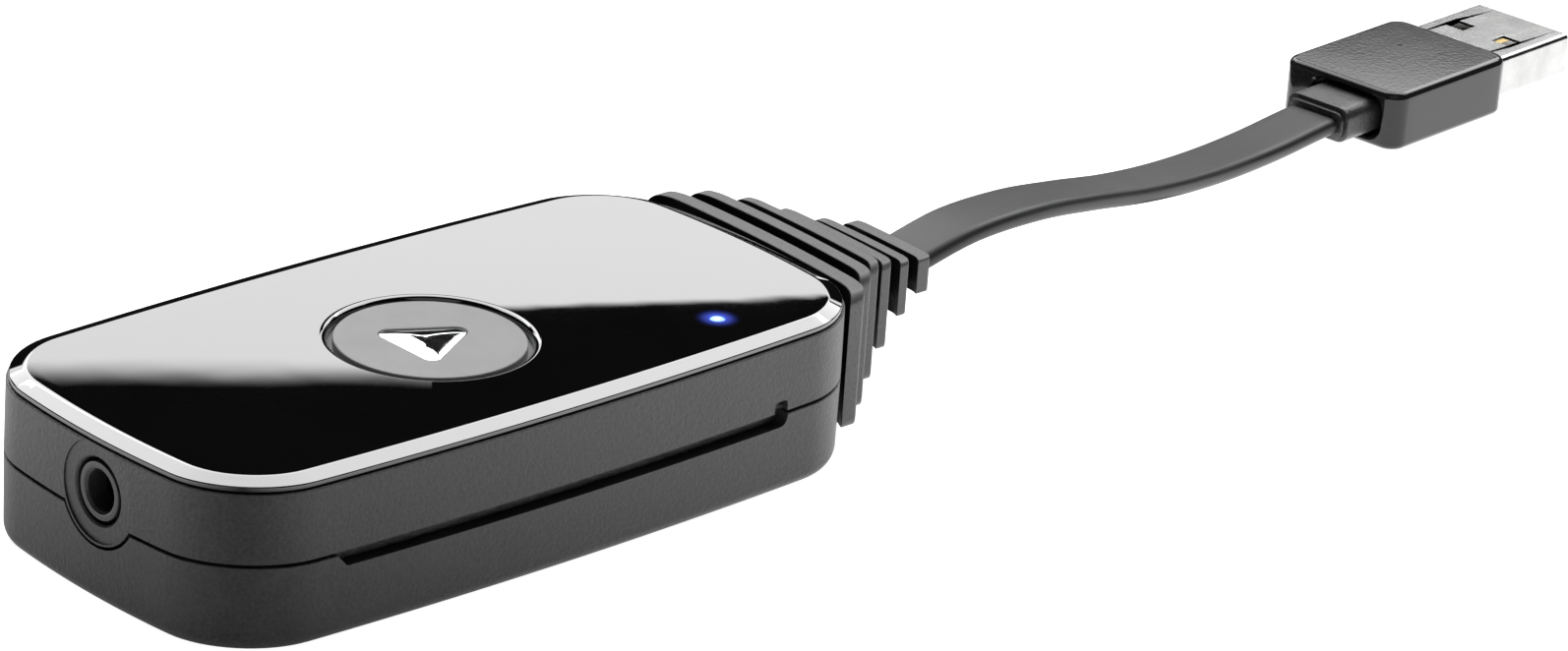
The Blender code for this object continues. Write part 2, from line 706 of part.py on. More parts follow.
def build_usb_shell(mat, z_mid):
    """A pressed metal sleeve, open at the tip and at the back, with two windows above and two below."""
    outer = rounded_rect(SHELL_W, SHELL_H, 0.45 * MM, 3)
    inner = rounded_rect(SHELL_W - 2.0 * SHELL_T, SHELL_H - 2.0 * SHELL_T, 0.2 * MM, 3)
    back = -15.8 * MM
    bm = bmesh.new()
    rings = []
    for x, section in ((back, inner), (back, outer), (0.0, outer), (0.0, inner)):
        rings.append([bm.verts.new((x, y, z_mid + z)) for y, z in section])
    count = len(outer)
    for a, b in zip(rings, rings[1:] + rings[:1]):
        for i in range(count):
            j = (i + 1) % count
            bm.faces.new((a[i], a[j], b[j], b[i]))
    shell = in_plug_frame(solid("usb_shell", bm, mat))
    windows = ((-3.1, 4.0, 7.0), (3.1, 4.0, 7.0), (-3.1, -1.0, 1.5), (3.1, -1.0, 1.5))
    for index, (y, z0, z1) in enumerate(windows):
        window = box("cut_window_%d" % index, (-8.1, y - 1.3, z0), (-5.9, y + 1.3, z1))
        cut(shell, in_plug_frame(window))
    cut(shell, in_plug_frame(box("cut_seam_tab", (-11.7, -0.3, 4.6), (-10.9, 1.1, 7.0))))
    return shell


def build_wire(name, start, end, sag, radius, mat):
    """A short inner lead between the relief and the board, in millimetres."""
    curve = bpy.data.curves.new(name, "CURVE")
    curve.dimensions = "3D"
    curve.bevel_depth = radius * MM
    curve.bevel_resolution = 2
    curve.use_fill_caps = True
    spline = curve.splines.new("POLY")
    count = 9
    spline.points.add(count - 1)
    for k in range(count):
        t = k / (count - 1)
        lift = sag * math.sin(math.pi * t)
        ease = t * t * (3.0 - 2.0 * t)
        x = start[0] + (end[0] - start[0]) * t
        y = start[1] + (end[1] - start[1]) * ease
        z = start[2] + (end[2] - start[2]) * ease + lift
        spline.points[k].co = (x * MM, y * MM, z * MM, 1.0)
    curve.materials.append(mat)
    wire = bpy.data.objects.new(name, curve)
    bpy.context.scene.collection.objects.link(wire)


def main():
    for obj in list(bpy.data.objects):
        bpy.data.objects.remove(obj, do_unlink=True)

    casing = material("casing_black", (0.045, 0.045, 0.047), 0.5)
    gloss = material("plate_black", (0.006, 0.006, 0.007), 0.06)
    satin = material("button_grey", (0.36, 0.36, 0.37), 0.38, 0.8)
    chrome = material("symbol_chrome", (0.82, 0.83, 0.84), 0.08, 1.0)
    lens = material("lamp_blue", (0.12, 0.22, 1.0), 0.2, 0.0, 4.0)
    rubber = material("relief_rubber", (0.05, 0.05, 0.052), 0.6)
    jacket = material("cable_black", (0.06, 0.06, 0.062), 0.55)
    nickel = material("shell_nickel", (0.72, 0.72, 0.71), 0.22, 1.0)
    white = material("tongue_white", (0.75, 0.75, 0.73), 0.45)
    gold = material("contact_gold", (0.83, 0.62, 0.25), 0.25, 1.0)
    green = material("board_green", (0.02, 0.16, 0.07), 0.45)
    chip = material("chip_black", (0.03, 0.03, 0.03), 0.5)
    can = material("can_steel", (0.62, 0.62, 0.63), 0.3, 1.0)
    ceramic = material("ceramic_white", (0.72, 0.7, 0.64), 0.5)
    red = material("wire_red", (0.5, 0.03, 0.03), 0.45)

    build_lower_shell(casing)
    build_upper_shell(casing)
    build_top_plate(gloss)
    pressed = build_button(satin, chrome)
    pressed.append(build_switch(chip, can))
    slide = bpy.data.objects.new("button_slide", None)
    bpy.context.scene.collection.objects.link(slide)
    slide.location = (BUTTON_X, BUTTON_Y, BUTTON_TOP)
    bpy.context.view_layer.update()
    for obj in pressed:
        obj.parent = slide
        obj.matrix_parent_inverse = slide.matrix_world.inverted()

    build_lamp(lens, ceramic)
    build_board(green)
    for index, (x, y) in enumerate(BOARD_POSTS):
        build_screw(index + 1, x, y, can)
    kinds = {"board": green, "chip": chip, "can": can, "ceramic": ceramic, "coil": chip}
    build_electronics(kinds)
    round_box("module_shield", (8.5, -0.2, 8.2), (17.5, 8.2, 9.8), 0.2, can, 2)
    build_jack(chip, casing, gold)

    build_strain_relief(rubber)
    build_cable(jacket)
    build_plug({"mould": gloss, "neck": rubber, "nickel": nickel, "tongue": white, "gold": gold})
    build_wire("power_wire", (33.3, 0.6, 8.2), (23.5, -3.2, 7.9), 0.6, 0.45, red)
    build_wire("ground_wire", (33.3, -2.0, 8.2), (23.5, -5.4, 7.9), 0.6, 0.45, chip)


main()
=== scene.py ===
from math import cos, hypot, pi, radians, sin

import bmesh
import bpy
from mathutils import Matrix, Vector


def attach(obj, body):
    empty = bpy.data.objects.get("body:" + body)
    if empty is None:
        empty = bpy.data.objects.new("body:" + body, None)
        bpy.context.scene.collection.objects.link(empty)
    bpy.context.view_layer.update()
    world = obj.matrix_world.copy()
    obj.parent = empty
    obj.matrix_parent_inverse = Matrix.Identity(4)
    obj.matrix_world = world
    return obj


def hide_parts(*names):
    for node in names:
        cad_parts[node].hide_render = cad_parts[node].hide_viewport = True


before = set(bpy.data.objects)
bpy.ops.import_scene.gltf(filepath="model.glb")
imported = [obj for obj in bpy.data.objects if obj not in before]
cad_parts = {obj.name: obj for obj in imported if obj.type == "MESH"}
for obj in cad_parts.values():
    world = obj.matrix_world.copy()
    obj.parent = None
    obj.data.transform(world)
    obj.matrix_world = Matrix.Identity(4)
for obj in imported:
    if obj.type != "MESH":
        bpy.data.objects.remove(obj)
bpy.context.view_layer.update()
scene = bpy.context.scene
scene.view_settings.view_transform = "Standard"
mm = 0.001
print("frame loaded:", len(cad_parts), "nodes")


def linked(name, data):
    made = bpy.data.objects.new(name, data)
    scene.collection.objects.link(made)
    return made


# camera

cameraSetup = {
    "target": (40.45, -1.51, 6.16), "distance": 558.3, "azimuth": -44.71, "elevation": 22.78, "roll": 4.0,
    "lens": 141.5
}


def placeCamera(setup):
    a = radians(setup["azimuth"])
    e = radians(setup["elevation"])
    roll = radians(setup["roll"])
    back = Vector((sin(a) * cos(e), -cos(a) * cos(e), sin(e)))
    level = Vector((cos(a), sin(a), 0.0))
    rise = back.cross(level)
    right = level * cos(roll) + rise * sin(roll)
    up = rise * cos(roll) - level * sin(roll)
    camera = linked("camera", bpy.data.cameras.new("camera"))
    camera.data.sensor_width = 36.0
    camera.data.lens = setup["lens"]
    camera.data.clip_start = 0.01
    camera.data.clip_end = 20.0
    turn = Matrix((right, up, back)).transposed().to_4x4()
    camera.matrix_world = Matrix.Translation((Vector(setup["target"]) + back * setup["distance"]) * mm) @ turn
    scene.camera = camera


placeCamera(cameraSetup)
print("camera placed")


# meshes

def makePiece(name, bm, sharp=32.0):
    bmesh.ops.recalc_face_normals(bm, faces=bm.faces)
    mesh = bpy.data.meshes.new(name)
    bm.to_mesh(mesh)
    bm.free()
    mesh.shade_smooth()
    mesh.set_sharp_from_angle(angle=radians(sharp))
    return linked(name, mesh)


# closed joins the last ring to the first, otherwise both ends are capped
def loftRings(name, rings, sharp=32.0, closed=False):
    bm = bmesh.new()
    made = [[bm.verts.new(p) for p in ring] for ring in rings]
    count = len(made[0])
    pairs = list(zip(made, made[1:] + made[:1])) if closed else list(zip(made, made[1:]))
    for low, high in pairs:
        for i in range(count):
            j = (i + 1) % count
            bm.faces.new((low[i], low[j], high[j], high[i]))
    if not closed:
        bm.faces.new(made[0])
        bm.faces.new(made[-1])
    return makePiece(name, bm, sharp)


# (cosine, sine) at even steps of a full turn
def fullTurn(segments):
    turns = [2.0 * pi * k / segments for k in range(segments)]
    return [(cos(turn), sin(turn)) for turn in turns]


# (sine, cosine) at even steps of a quarter turn
def quarterTurn(steps):
    turns = [0.5 * pi * k / steps for k in range(steps + 1)]
    return [(sin(turn), cos(turn)) for turn in turns]


# ring across the X axis from the (u, v) points of a section, in mm
def crossRing(section, x, y, z):
    return [Vector((x, y + u, z + v)) * mm for u, v in section]


# rings about a vertical axis from (radius, height) pairs in mm
def latheRings(profile, segments, centre):
    x, y = centre
    return [[Vector((x + r * c, y + r * s, z)) * mm for c, s in fullTurn(segments)] for r, z in profile]


# rings about an axis along X from (radius, x) pairs in mm
def lyingRings(profile, segments, y, z):
    return [[Vector((x, y + r * c, z + r * s)) * mm for c, s in fullTurn(segments)] for r, x in profile]


# rounds the corners of a path of (a, b, reach) points,
# reach being how far from the corner the rounding starts
def softCorners(points, steps=4):
    path = []
    for k, (a, b, reach) in enumerate(points):
        here = Vector((a, b))
        if reach == 0.0 or k in (0, len(points) - 1):
            path.append((a, b))
            continue
        back = Vector(points[k - 1][:2]) - here
        ahead = Vector(points[k + 1][:2]) - here
        start = here + back.normalized() * min(reach, 0.49 * back.length)
        end = here + ahead.normalized() * min(reach, 0.49 * ahead.length)
        for step in range(steps + 1):
            t = step / steps
            p = start * (1.0 - t) ** 2 + here * 2.0 * t * (1.0 - t) + end * t * t
            path.append((p.x, p.y))
    return path


def arcPoints(cx, cy, radius, start, steps):
    turns = [start + 0.5 * pi * k / steps for k in range(steps + 1)]
    return [(cx + radius * cos(turn), cy + radius * sin(turn)) for turn in turns]


# anticlockwise rounded rectangle in mm, with extra points along its wide sides and its short faces
def roundRect(width, height, radius, corner=6, side=0, face=0):
    cx = 0.5 * width - radius
    cy = 0.5 * height - radius
    arcs = [arcPoints(cx, cy, radius, 0.0, corner), arcPoints(-cx, cy, radius, 0.5 * pi, corner)]
    arcs += [arcPoints(-cx, -cy, radius, pi, corner), arcPoints(cx, -cy, radius, 1.5 * pi, corner)]
    points = []
    for k in range(4):
        points += arcs[k]
        extra = side if k % 2 == 0 else face
        x0, y0 = arcs[k][-1]
        x1, y1 = arcs[(k + 1) % 4][0]
        for n in range(1, extra + 1):
            points.append((x0 + (x1 - x0) * n / (extra + 1), y0 + (y1 - y0) * n / (extra + 1)))
    return points


def boxPiece(name, low, high):
    bm = bmesh.new()
    bmesh.ops.create_cube(bm, size=1.0)
    for v in bm.verts:
        v.co = Vector([(low[k] + (v.co[k] + 0.5) * (high[k] - low[k])) * mm for k in range(3)])
    return makePiece(name, bm)


def carve(piece, tool, operation="DIFFERENCE"):
    modifier = piece.modifiers.new(tool.name, "BOOLEAN")
    modifier.operation = operation
    modifier.solver = "EXACT"
    modifier.object = tool


def easeEdges(piece, width, angle):
    modifier = piece.modifiers.new("softEdge", "BEVEL")
    modifier.width = width * mm
    modifier.segments = 2
    modifier.limit_method = "ANGLE"
    modifier.angle_limit = radians(angle)


# turns the live modifiers into a plain mesh and removes the cutting tools
def settle(piece, sharp=32.0, weighted=True):
    tools = [m.object for m in piece.modifiers if m.type == "BOOLEAN"]
    graph = bpy.context.evaluated_depsgraph_get()
    plain = bpy.data.meshes.new_from_object(piece.evaluated_get(graph))
    piece.modifiers.clear()
    piece.data = plain
    plain.materials.clear()
    plain.shade_smooth()
    plain.set_sharp_from_angle(angle=radians(sharp))
    for tool in tools:
        bpy.data.objects.remove(tool, do_unlink=True)
    if weighted:
        modifier = piece.modifiers.new("evenShading", "WEIGHTED_NORMAL")
        modifier.keep_sharp = True
        modifier.weight = 80
    return piece


# finish, body and the CAD node that the piece stands for
def dress(piece, finish, node, body="casing"):
    piece.data.materials.clear()
    piece.data.materials.append(finishes[finish])
    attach(piece, body)
    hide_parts(node)


# materials

def emptyMaterial(name):
    material = bpy.data.materials.new(name)
    material.use_nodes = True
    tree = material.node_tree
    tree.nodes.clear()
    return material, tree, addNode(tree, "OutputMaterial").inputs["Surface"]


def addNode(tree, kind):
    return tree.nodes.new("ShaderNode" + kind)


def feed(value, node, name):
    node.id_data.links.new(value, node.inputs[name])


def preset(node, values):
    for name, value in values.items():
        node.inputs[name].default_value = value


def startMaterial(name, roughness=0.5, metallic=0.0, ior=1.5):
    material, tree, surface = emptyMaterial(name)
    shader = addNode(tree, "BsdfPrincipled")
    tree.links.new(shader.outputs["BSDF"], surface)
    preset(shader, {"Roughness": roughness, "Metallic": metallic, "IOR": ior})
    return material, tree, shader, addNode(tree, "TexCoord").outputs["Object"]


def stretched(tree, place, scale, turn=(0.0, 0.0, 0.0), centre=(0.0, 0.0, 0.0)):
    node = addNode(tree, "Mapping")
    node.vector_type = "TEXTURE"
    preset(node, {"Location": centre, "Rotation": turn, "Scale": scale})
    feed(place, node, "Vector")
    return node.outputs["Vector"]


# noise whose features are about size mm across
def noiseField(tree, place, size, detail, rough):
    node = addNode(tree, "TexNoise")
    preset(node, {"Scale": 1.0 / (size * mm), "Detail": detail, "Roughness": rough})
    feed(place, node, "Vector")
    return node.outputs["Fac"]


def cellField(tree, place, size):
    node = addNode(tree, "TexVoronoi")
    preset(node, {"Scale": 1.0 / (size * mm)})
    feed(place, node, "Vector")
    return node.outputs["Distance"]


def spread(tree, value, low, high, fromLow=0.3, fromHigh=0.7, smooth=False):
    node = addNode(tree, "MapRange")
    node.interpolation_type = "SMOOTHSTEP" if smooth else "LINEAR"
    preset(node, {"From Min": fromLow, "From Max": fromHigh, "To Min": low, "To Max": high})
    feed(value, node, "Value")
    return node.outputs["Result"]


def tint(tree, value, stops):
    node = addNode(tree, "ValToRGB")
    ramp = node.color_ramp
    while len(ramp.elements) < len(stops):
        ramp.elements.new(0.5)
    for element, (at, colour) in zip(ramp.elements, stops):
        element.position = at
        element.color = (*colour, 1.0)
    feed(value, node, "Fac")
    return node.outputs["Color"]


def combine(tree, a, b=None, operation="ADD"):
    node = addNode(tree, "Math")
    node.operation = operation
    for socket, value in zip(node.inputs, (a, b)):
        if isinstance(value, (int, float)):
            socket.default_value = value
        elif value is not None:
            tree.links.new(value, socket)
    return node.outputs["Value"]


def times(tree, a, b):
    return combine(tree, a, b, "MULTIPLY")


def blend(tree, a, shareA, b, shareB):
    return combine(tree, times(tree, a, shareA), times(tree, b, shareB))


# bump of a depth in mm
def bumpUp(tree, shader, height, depth):
    node = addNode(tree, "Bump")
    preset(node, {"Strength": 1.0, "Distance": depth * mm})
    feed(height, node, "Height")
    feed(node.outputs["Normal"], shader, "Normal")


# distance from a point given in mm, in mm
def offAxis(tree, place, centre):
    moved = stretched(tree, place, (mm, mm, mm), centre=tuple(c * mm for c in centre))
    node = addNode(tree, "VectorMath")
    node.operation = "LENGTH"
    feed(moved, node, 0)
    return node.outputs["Value"]


# sum of the coordinates, each times its share
def along(tree, place, shares):
    node = addNode(tree, "VectorMath")
    node.operation = "DOT_PRODUCT"
    feed(place, node, 0)
    node.inputs[1].default_value = shares
    return node.outputs["Value"]


# spark-eroded plastic: fine even grain, faint mottling and a few scuffs
def mouldedPlastic(name, deep, pale, roughLow, roughHigh, grain, depth, ior=1.5):
    material, tree, shader, place = startMaterial(name, ior=ior)
    fine = noiseField(tree, place, grain, 2.0, 0.6)
    pits = cellField(tree, place, grain * 1.7)
    broad = noiseField(tree, place, 9.0, 4.0, 0.6)
    scuff = noiseField(tree, stretched(tree, place, (9.0, 0.6, 0.6), (0.0, 0.3, 0.25)), 1.1, 3.0, 0.7)
    mix = blend(tree, broad, 0.5, fine, 0.5)
    feed(tint(tree, mix, ((0.38, deep), (0.62, pale))), shader, "Base Color")
    rub = spread(tree, scuff, 0.0, -0.07, 0.66, 0.74)
    feed(combine(tree, spread(tree, broad, roughLow, roughHigh), rub), shader, "Roughness")
    bumpUp(tree, shader, combine(tree, fine, times(tree, pits, 0.5)), depth)
    return material


# finishes

# name, deepest and palest colour, roughness from and to, grain size and depth in mm, sometimes an IOR
plastics = {
    "casing": ("casingPlastic", (0.016, 0.016, 0.0165), (0.034, 0.034, 0.035), 0.4, 0.5, 0.3, 0.055),
    "neck": ("neckPlastic", (0.018, 0.018, 0.019), (0.028, 0.028, 0.029), 0.4, 0.5, 0.3, 0.05),
    "mould": ("plugPlastic", (0.009, 0.009, 0.0095), (0.015, 0.015, 0.0155), 0.06, 0.09, 0.35, 0.002, 1.38),
    "chip": ("chipPlastic", (0.02, 0.02, 0.021), (0.035, 0.035, 0.036), 0.45, 0.6, 0.12, 0.01),
    "jackPlastic": ("jackPlastic", (0.02, 0.02, 0.021), (0.03, 0.03, 0.031), 0.24, 0.32, 0.15, 0.004),
    "tongue": ("tonguePlastic", (0.68, 0.68, 0.66), (0.76, 0.76, 0.74), 0.38, 0.5, 0.3, 0.006),
    "ceramic": ("ceramicWhite", (0.66, 0.63, 0.57), (0.74, 0.71, 0.65), 0.45, 0.6, 0.15, 0.01),
    "wire": ("wireRed", (0.42, 0.02, 0.02), (0.52, 0.035, 0.03), 0.4, 0.5, 0.4, 0.008),
}
# name, deepest and palest colour, roughness from and to, stretch and size of the grain
metals = {
    "chrome": ("symbolChrome", (0.78, 0.79, 0.8), (0.84, 0.85, 0.86), 0.04, 0.08, (1.0, 1.0, 1.0), 1.4),
    "nickel": ("sleeveNickel", (0.31, 0.31, 0.308), (0.39, 0.39, 0.387), 0.2, 0.3, (16.0, 1.0, 1.0), 0.16),
    "gold": ("contactGold", (0.78, 0.55, 0.2), (0.88, 0.67, 0.3), 0.2, 0.3, (10.0, 1.0, 1.0), 0.1),
    "steel": ("canSteel", (0.55, 0.55, 0.56), (0.66, 0.66, 0.67), 0.26, 0.4, (1.0, 1.0, 1.0), 0.3),
}


def makeFinishes():
    made = {key: mouldedPlastic(*values) for key, values in plastics.items()}
    made.update({key: brightMetal(*values) for key, values in metals.items()})
    made["relief"] = reliefRubberPaintedShade()
    made["plate"] = glossPlate()
    made["button"] = satinDisc()
    made["lamp"] = lampLens()
    made["cable"] = cableJacket()
    made["board"] = boardLacquer()
    return made


# rubber with painted shade: base colour and specular are darkened to nearly black on the faces that look into
# the gaps between the ribs, standing in for the shadow there
def reliefRubberPaintedShade():
    material = mouldedPlastic(
        "reliefRubberPaintedShade", (0.06, 0.06, 0.061), (0.095, 0.095, 0.096), 0.48, 0.58, 0.24, 0.028
    )
    tree = material.node_tree
    shader = next(node for node in tree.nodes if node.type == "BSDF_PRINCIPLED")
    facing = addNode(tree, "TexCoord").outputs["Normal"]
    # painted shade: faces looking along -X get a darker colour and less specular, as if shadowed in the rib
    # gaps
    paintedGapShade = spread(tree, along(tree, facing, (1.0, 0.0, 0.0)), 0.08, 1.0, -0.8, -0.3)
    paintedShadeColour = addNode(tree, "VectorMath")
    paintedShadeColour.operation = "SCALE"
    feed(shader.inputs["Base Color"].links[0].from_socket, paintedShadeColour, 0)
    feed(paintedGapShade, paintedShadeColour, "Scale")
    feed(paintedShadeColour.outputs["Vector"], shader, "Base Color")
    feed(times(tree, paintedGapShade, 0.5), shader, "Specular IOR Level")
    return material


# black mirror with the faintest waviness and dust, and a painted glow: the plate emits the lamp's light
# spreading in it
def glossPlate():
    material, tree, shader, place = startMaterial("platePolish", ior=1.95)
    dust = noiseField(tree, place, 0.3, 2.0, 0.6)
    broad = noiseField(tree, place, 14.0, 2.0, 0.5)
    feed(
        tint(tree, broad, ((0.3, (0.0011, 0.0011, 0.0012)), (0.7, (0.0017, 0.0017, 0.0018)))), shader,
        "Base Color"
    )
    feed(
        combine(tree, spread(tree, dust, 0.0, 0.02, 0.62, 0.8), spread(tree, broad, 0.004, 0.009)), shader,
        "Roughness"
    )
    bumpUp(tree, shader, broad, 0.004)
    # painted glow: emission around the lamp, fading with distance, stands in for the lamp's light in the
    # plate
    far = offAxis(tree, place, (lampSetup["x"], lampSetup["y"], lampSetup["glow"]))
    near = spread(tree, far, 1.0, 0.0, 0.45, 2.4, True)
    glow = combine(tree, combine(tree, near, 2.2, "POWER"), 0.7, "MULTIPLY")
    shader.inputs["Emission Color"].default_value = (0.1, 0.16, 1.0, 1.0)
    feed(glow, shader, "Emission Strength")
    return material


def satinDisc():
    material, tree, shader, place = startMaterial("buttonSatin", ior=1.35)
    fine = noiseField(tree, place, 0.16, 2.0, 0.6)
    broad = noiseField(tree, place, 5.0, 3.0, 0.5)
    mix = blend(tree, broad, 0.6, fine, 0.4)
    feed(tint(tree, mix, ((0.35, (0.225, 0.225, 0.227)), (0.65, (0.26, 0.26, 0.262)))), shader, "Base Color")
    feed(spread(tree, fine, 0.42, 0.52), shader, "Roughness")
    bumpUp(tree, shader, fine, 0.006)
    return material


def brightMetal(name, deep, pale, roughLow, roughHigh, stretch, grain):
    material, tree, shader, place = startMaterial(name, metallic=1.0)
    lines = noiseField(tree, stretched(tree, place, stretch), grain, 3.0, 0.6)
    broad = noiseField(tree, place, 3.0, 3.0, 0.5)
    feed(tint(tree, broad, ((0.3, deep), (0.7, pale))), shader, "Base Color")
    feed(
        combine(tree, spread(tree, lines, roughLow, roughHigh), spread(tree, broad, -0.01, 0.01)), shader,
        "Roughness"
    )
    bumpUp(tree, shader, lines, 0.002)
    return material


def lampLens():
    material, tree, shader, place = startMaterial("lampLight", 0.15)
    far = offAxis(tree, place, (lampSetup["x"], lampSetup["y"], lampSetup["glow"]))
    uneven = noiseField(tree, place, 0.35, 2.0, 0.5)
    edge = combine(tree, far, spread(tree, uneven, -0.06, 0.06))
    stops = ((0.15, (0.72, 1.0, 0.98)), (0.45, (0.25, 0.55, 1.0)), (0.8, (0.04, 0.1, 1.0)))
    feed(tint(tree, edge, stops), shader, "Emission Color")
    feed(spread(tree, edge, 1.5, 0.7, 0.3, 0.75, True), shader, "Emission Strength")
    feed(tint(tree, uneven, ((0.3, (0.1, 0.18, 0.7)), (0.7, (0.14, 0.24, 0.85)))), shader, "Base Color")
    return material


# flat jacket: fine grain, faint drawing lines along it from its own UV map
def cableJacket():
    material, tree, shader, place = startMaterial("cableJacket", ior=1.38)
    strip = addNode(tree, "UVMap")
    strip.uv_map = "strip"
    lines = noiseField(tree, stretched(tree, strip.outputs["UV"], (40.0, 1.0, 1.0)), 0.35, 3.0, 0.6)
    fine = noiseField(tree, place, 0.22, 2.0, 0.6)
    broad = noiseField(tree, place, 6.0, 3.0, 0.5)
    mix = blend(tree, broad, 0.6, lines, 0.4)
    feed(
        tint(tree, mix, ((0.35, (0.014, 0.014, 0.0145)), (0.65, (0.024, 0.024, 0.0245)))), shader,
        "Base Color"
    )
    feed(spread(tree, mix, 0.42, 0.52), shader, "Roughness")
    bumpUp(tree, shader, combine(tree, times(tree, fine, 0.5), lines), 0.012)
    return material


# green solder mask over copper tracks
def boardLacquer():
    material, tree, shader, place = startMaterial("boardLacquer", 0.35)
    tracks = addNode(tree, "TexBrick")
    tracks.offset = 0.37
    preset(tracks, {"Scale": 260.0, "Mortar Size": 0.03, "Mortar": (0.03, 0.24, 0.09, 1.0)})
    preset(tracks, {"Color1": (0.008, 0.1, 0.045, 1.0), "Color2": (0.01, 0.13, 0.055, 1.0)})
    feed(place, tracks, "Vector")
    feed(tracks.outputs["Color"], shader, "Base Color")
    bumpUp(tree, shader, tracks.outputs["Fac"], 0.03)
    return material


lampSetup = {"x": 21.5, "y": -12.4, "radius": 0.72, "top": 15.22, "shoulder": 13.15, "glow": 15.2}
finishes = makeFinishes()
print("finishes made:", len(finishes))


# flat cable

plugSetup = {
    "tip": (164.0, 16.0), "yaw": 4.4,
    "sleeveLength": 12.3, "sleeveWidth": 12.0, "sleeveHeight": 4.5, "sheet": 0.35, "sleeveBack": -15.8,
    "mouldLength": 19.4, "mouldWidth": 15.0, "mouldHeight": 6.2, "mouldCorner": 2.0, "mouldEdge": 0.75,
    "neckLength": 5.0, "neckY": -0.9, "neckZ": 3.1, "sleeveGap": 0.12,
    "pocketWidth": 9.2, "pocketHeight": 4.6, "pocketCorner": 1.6, "pocketLip": 0.25, "pocketDepth": 2.6,
    "windows": ((-3.1, 4.0, 7.0), (3.1, 4.0, 7.0), (-3.1, -1.0, 1.5), (3.1, -1.0, 1.5)),
    "windowReach": (-8.1, -5.9), "windowHalf": 1.3,
}


def plugFrame():
    x, y = plugSetup["tip"]
    return Matrix.Translation((x * mm, y * mm, 0.0)) @ Matrix.Rotation(radians(plugSetup["yaw"]), 4, "Z")


cableSetup = {
    "exit": (55.9, -0.35, 8.9), "width": 6.2, "thickness": 1.7, "rings": 150, "gap": 0.3, "steps": 24,
    "knots": (
        (63.3, -0.3, 10.35), (72.5, 0.8, 9.9), (81.5, 2.45, 8.3), (90.5, 4.45, 6.3), (99.5, 6.7, 4.6),
        (108.5, 8.9, 3.4), (117.5, 10.8, 2.85)
    ),
}


# centre line in metres: level out of the relief, a low arch, a sag, and level into the neck
def cableRoute(setup):
    start = Vector(setup["exit"])
    along = -(plugSetup["sleeveLength"] + plugSetup["mouldLength"] + plugSetup["neckLength"]) - setup["gap"]
    toPlug = plugFrame()
    end = toPlug @ Vector((along * mm, plugSetup["neckY"] * mm, 3.05 * mm)) / mm
    yaw = radians(plugSetup["yaw"])
    heading = Vector((cos(yaw), sin(yaw), 0.0))
    knots = [
        start - Vector((3.0, 0.0, 0.5)), start
    ] + [Vector(k) for k in setup["knots"]] + [end, end + heading * 8.0]
    dense = []
    for k in range(1, len(knots) - 2):
        a, b, c, d = knots[k - 1:k + 3]
        for step in range(setup["steps"]):
            t = step / setup["steps"]
            pull = 2.0 * b + (c - a) * t + (2.0 * a - 5.0 * b + 4.0 * c - d) * t * t
            dense.append(0.5 * (pull + (3.0 * b - a - 3.0 * c + d) * t ** 3))
    dense.append(knots[-2])
    lengths = [0.0]
    for a, b in zip(dense, dense[1:]):
        lengths.append(lengths[-1] + (b - a).length)
    route = []
    at = 0
    for k in range(setup["rings"] + 1):
        want = lengths[-1] * k / setup["rings"]
        while at < len(dense) - 2 and lengths[at + 1] < want:
            at += 1
        share = (want - lengths[at]) / (lengths[at + 1] - lengths[at])
        route.append(dense[at].lerp(dense[at + 1], min(1.0, share)) * mm)
    return route, lengths[-1] * mm


def makeCable(setup):
    route, length = cableRoute(setup)
    section = roundRect(setup["width"], setup["thickness"], 0.46 * setup["thickness"], 6, 7)
    bm = bmesh.new()
    layer = bm.loops.layers.uv.new("strip")
    rings = []
    last = len(route) - 1
    for k, at in enumerate(route):
        ahead = (route[min(k + 1, last)] - route[max(k - 1, 0)]).normalized()
        across = Vector((0.0, 0.0, 1.0)).cross(ahead).normalized()
        up = ahead.cross(across)
        rings.append([bm.verts.new(at + across * (u * mm) + up * (v * mm)) for u, v in section])
    around = [0.0]
    for a, b in zip(section, section[1:] + section[:1]):
        around.append(around[-1] + hypot(b[0] - a[0], b[1] - a[1]) * mm)
    count = len(section)
    for k in range(last):
        for i in range(count):
            j = (i + 1) % count
            face = bm.faces.new((rings[k][i], rings[k][j], rings[k + 1][j], rings[k + 1][i]))
            spots = ((k, i), (k, i + 1), (k + 1, i + 1), (k + 1, i))
            for loop, (n, m) in zip(face.loops, spots):
                loop[layer].uv = (length * n / last, around[m])
    bm.faces.new(rings[0])
    bm.faces.new(rings[-1])
    cable = makePiece("flatCable", bm, 40.0)
    return cable, route, length


cable, route, cableLength = makeCable(cableSetup)
dress(cable, "cable", "flat_cable")
print("cable made, length in mm:", round(cableLength / mm, 1))


# casing

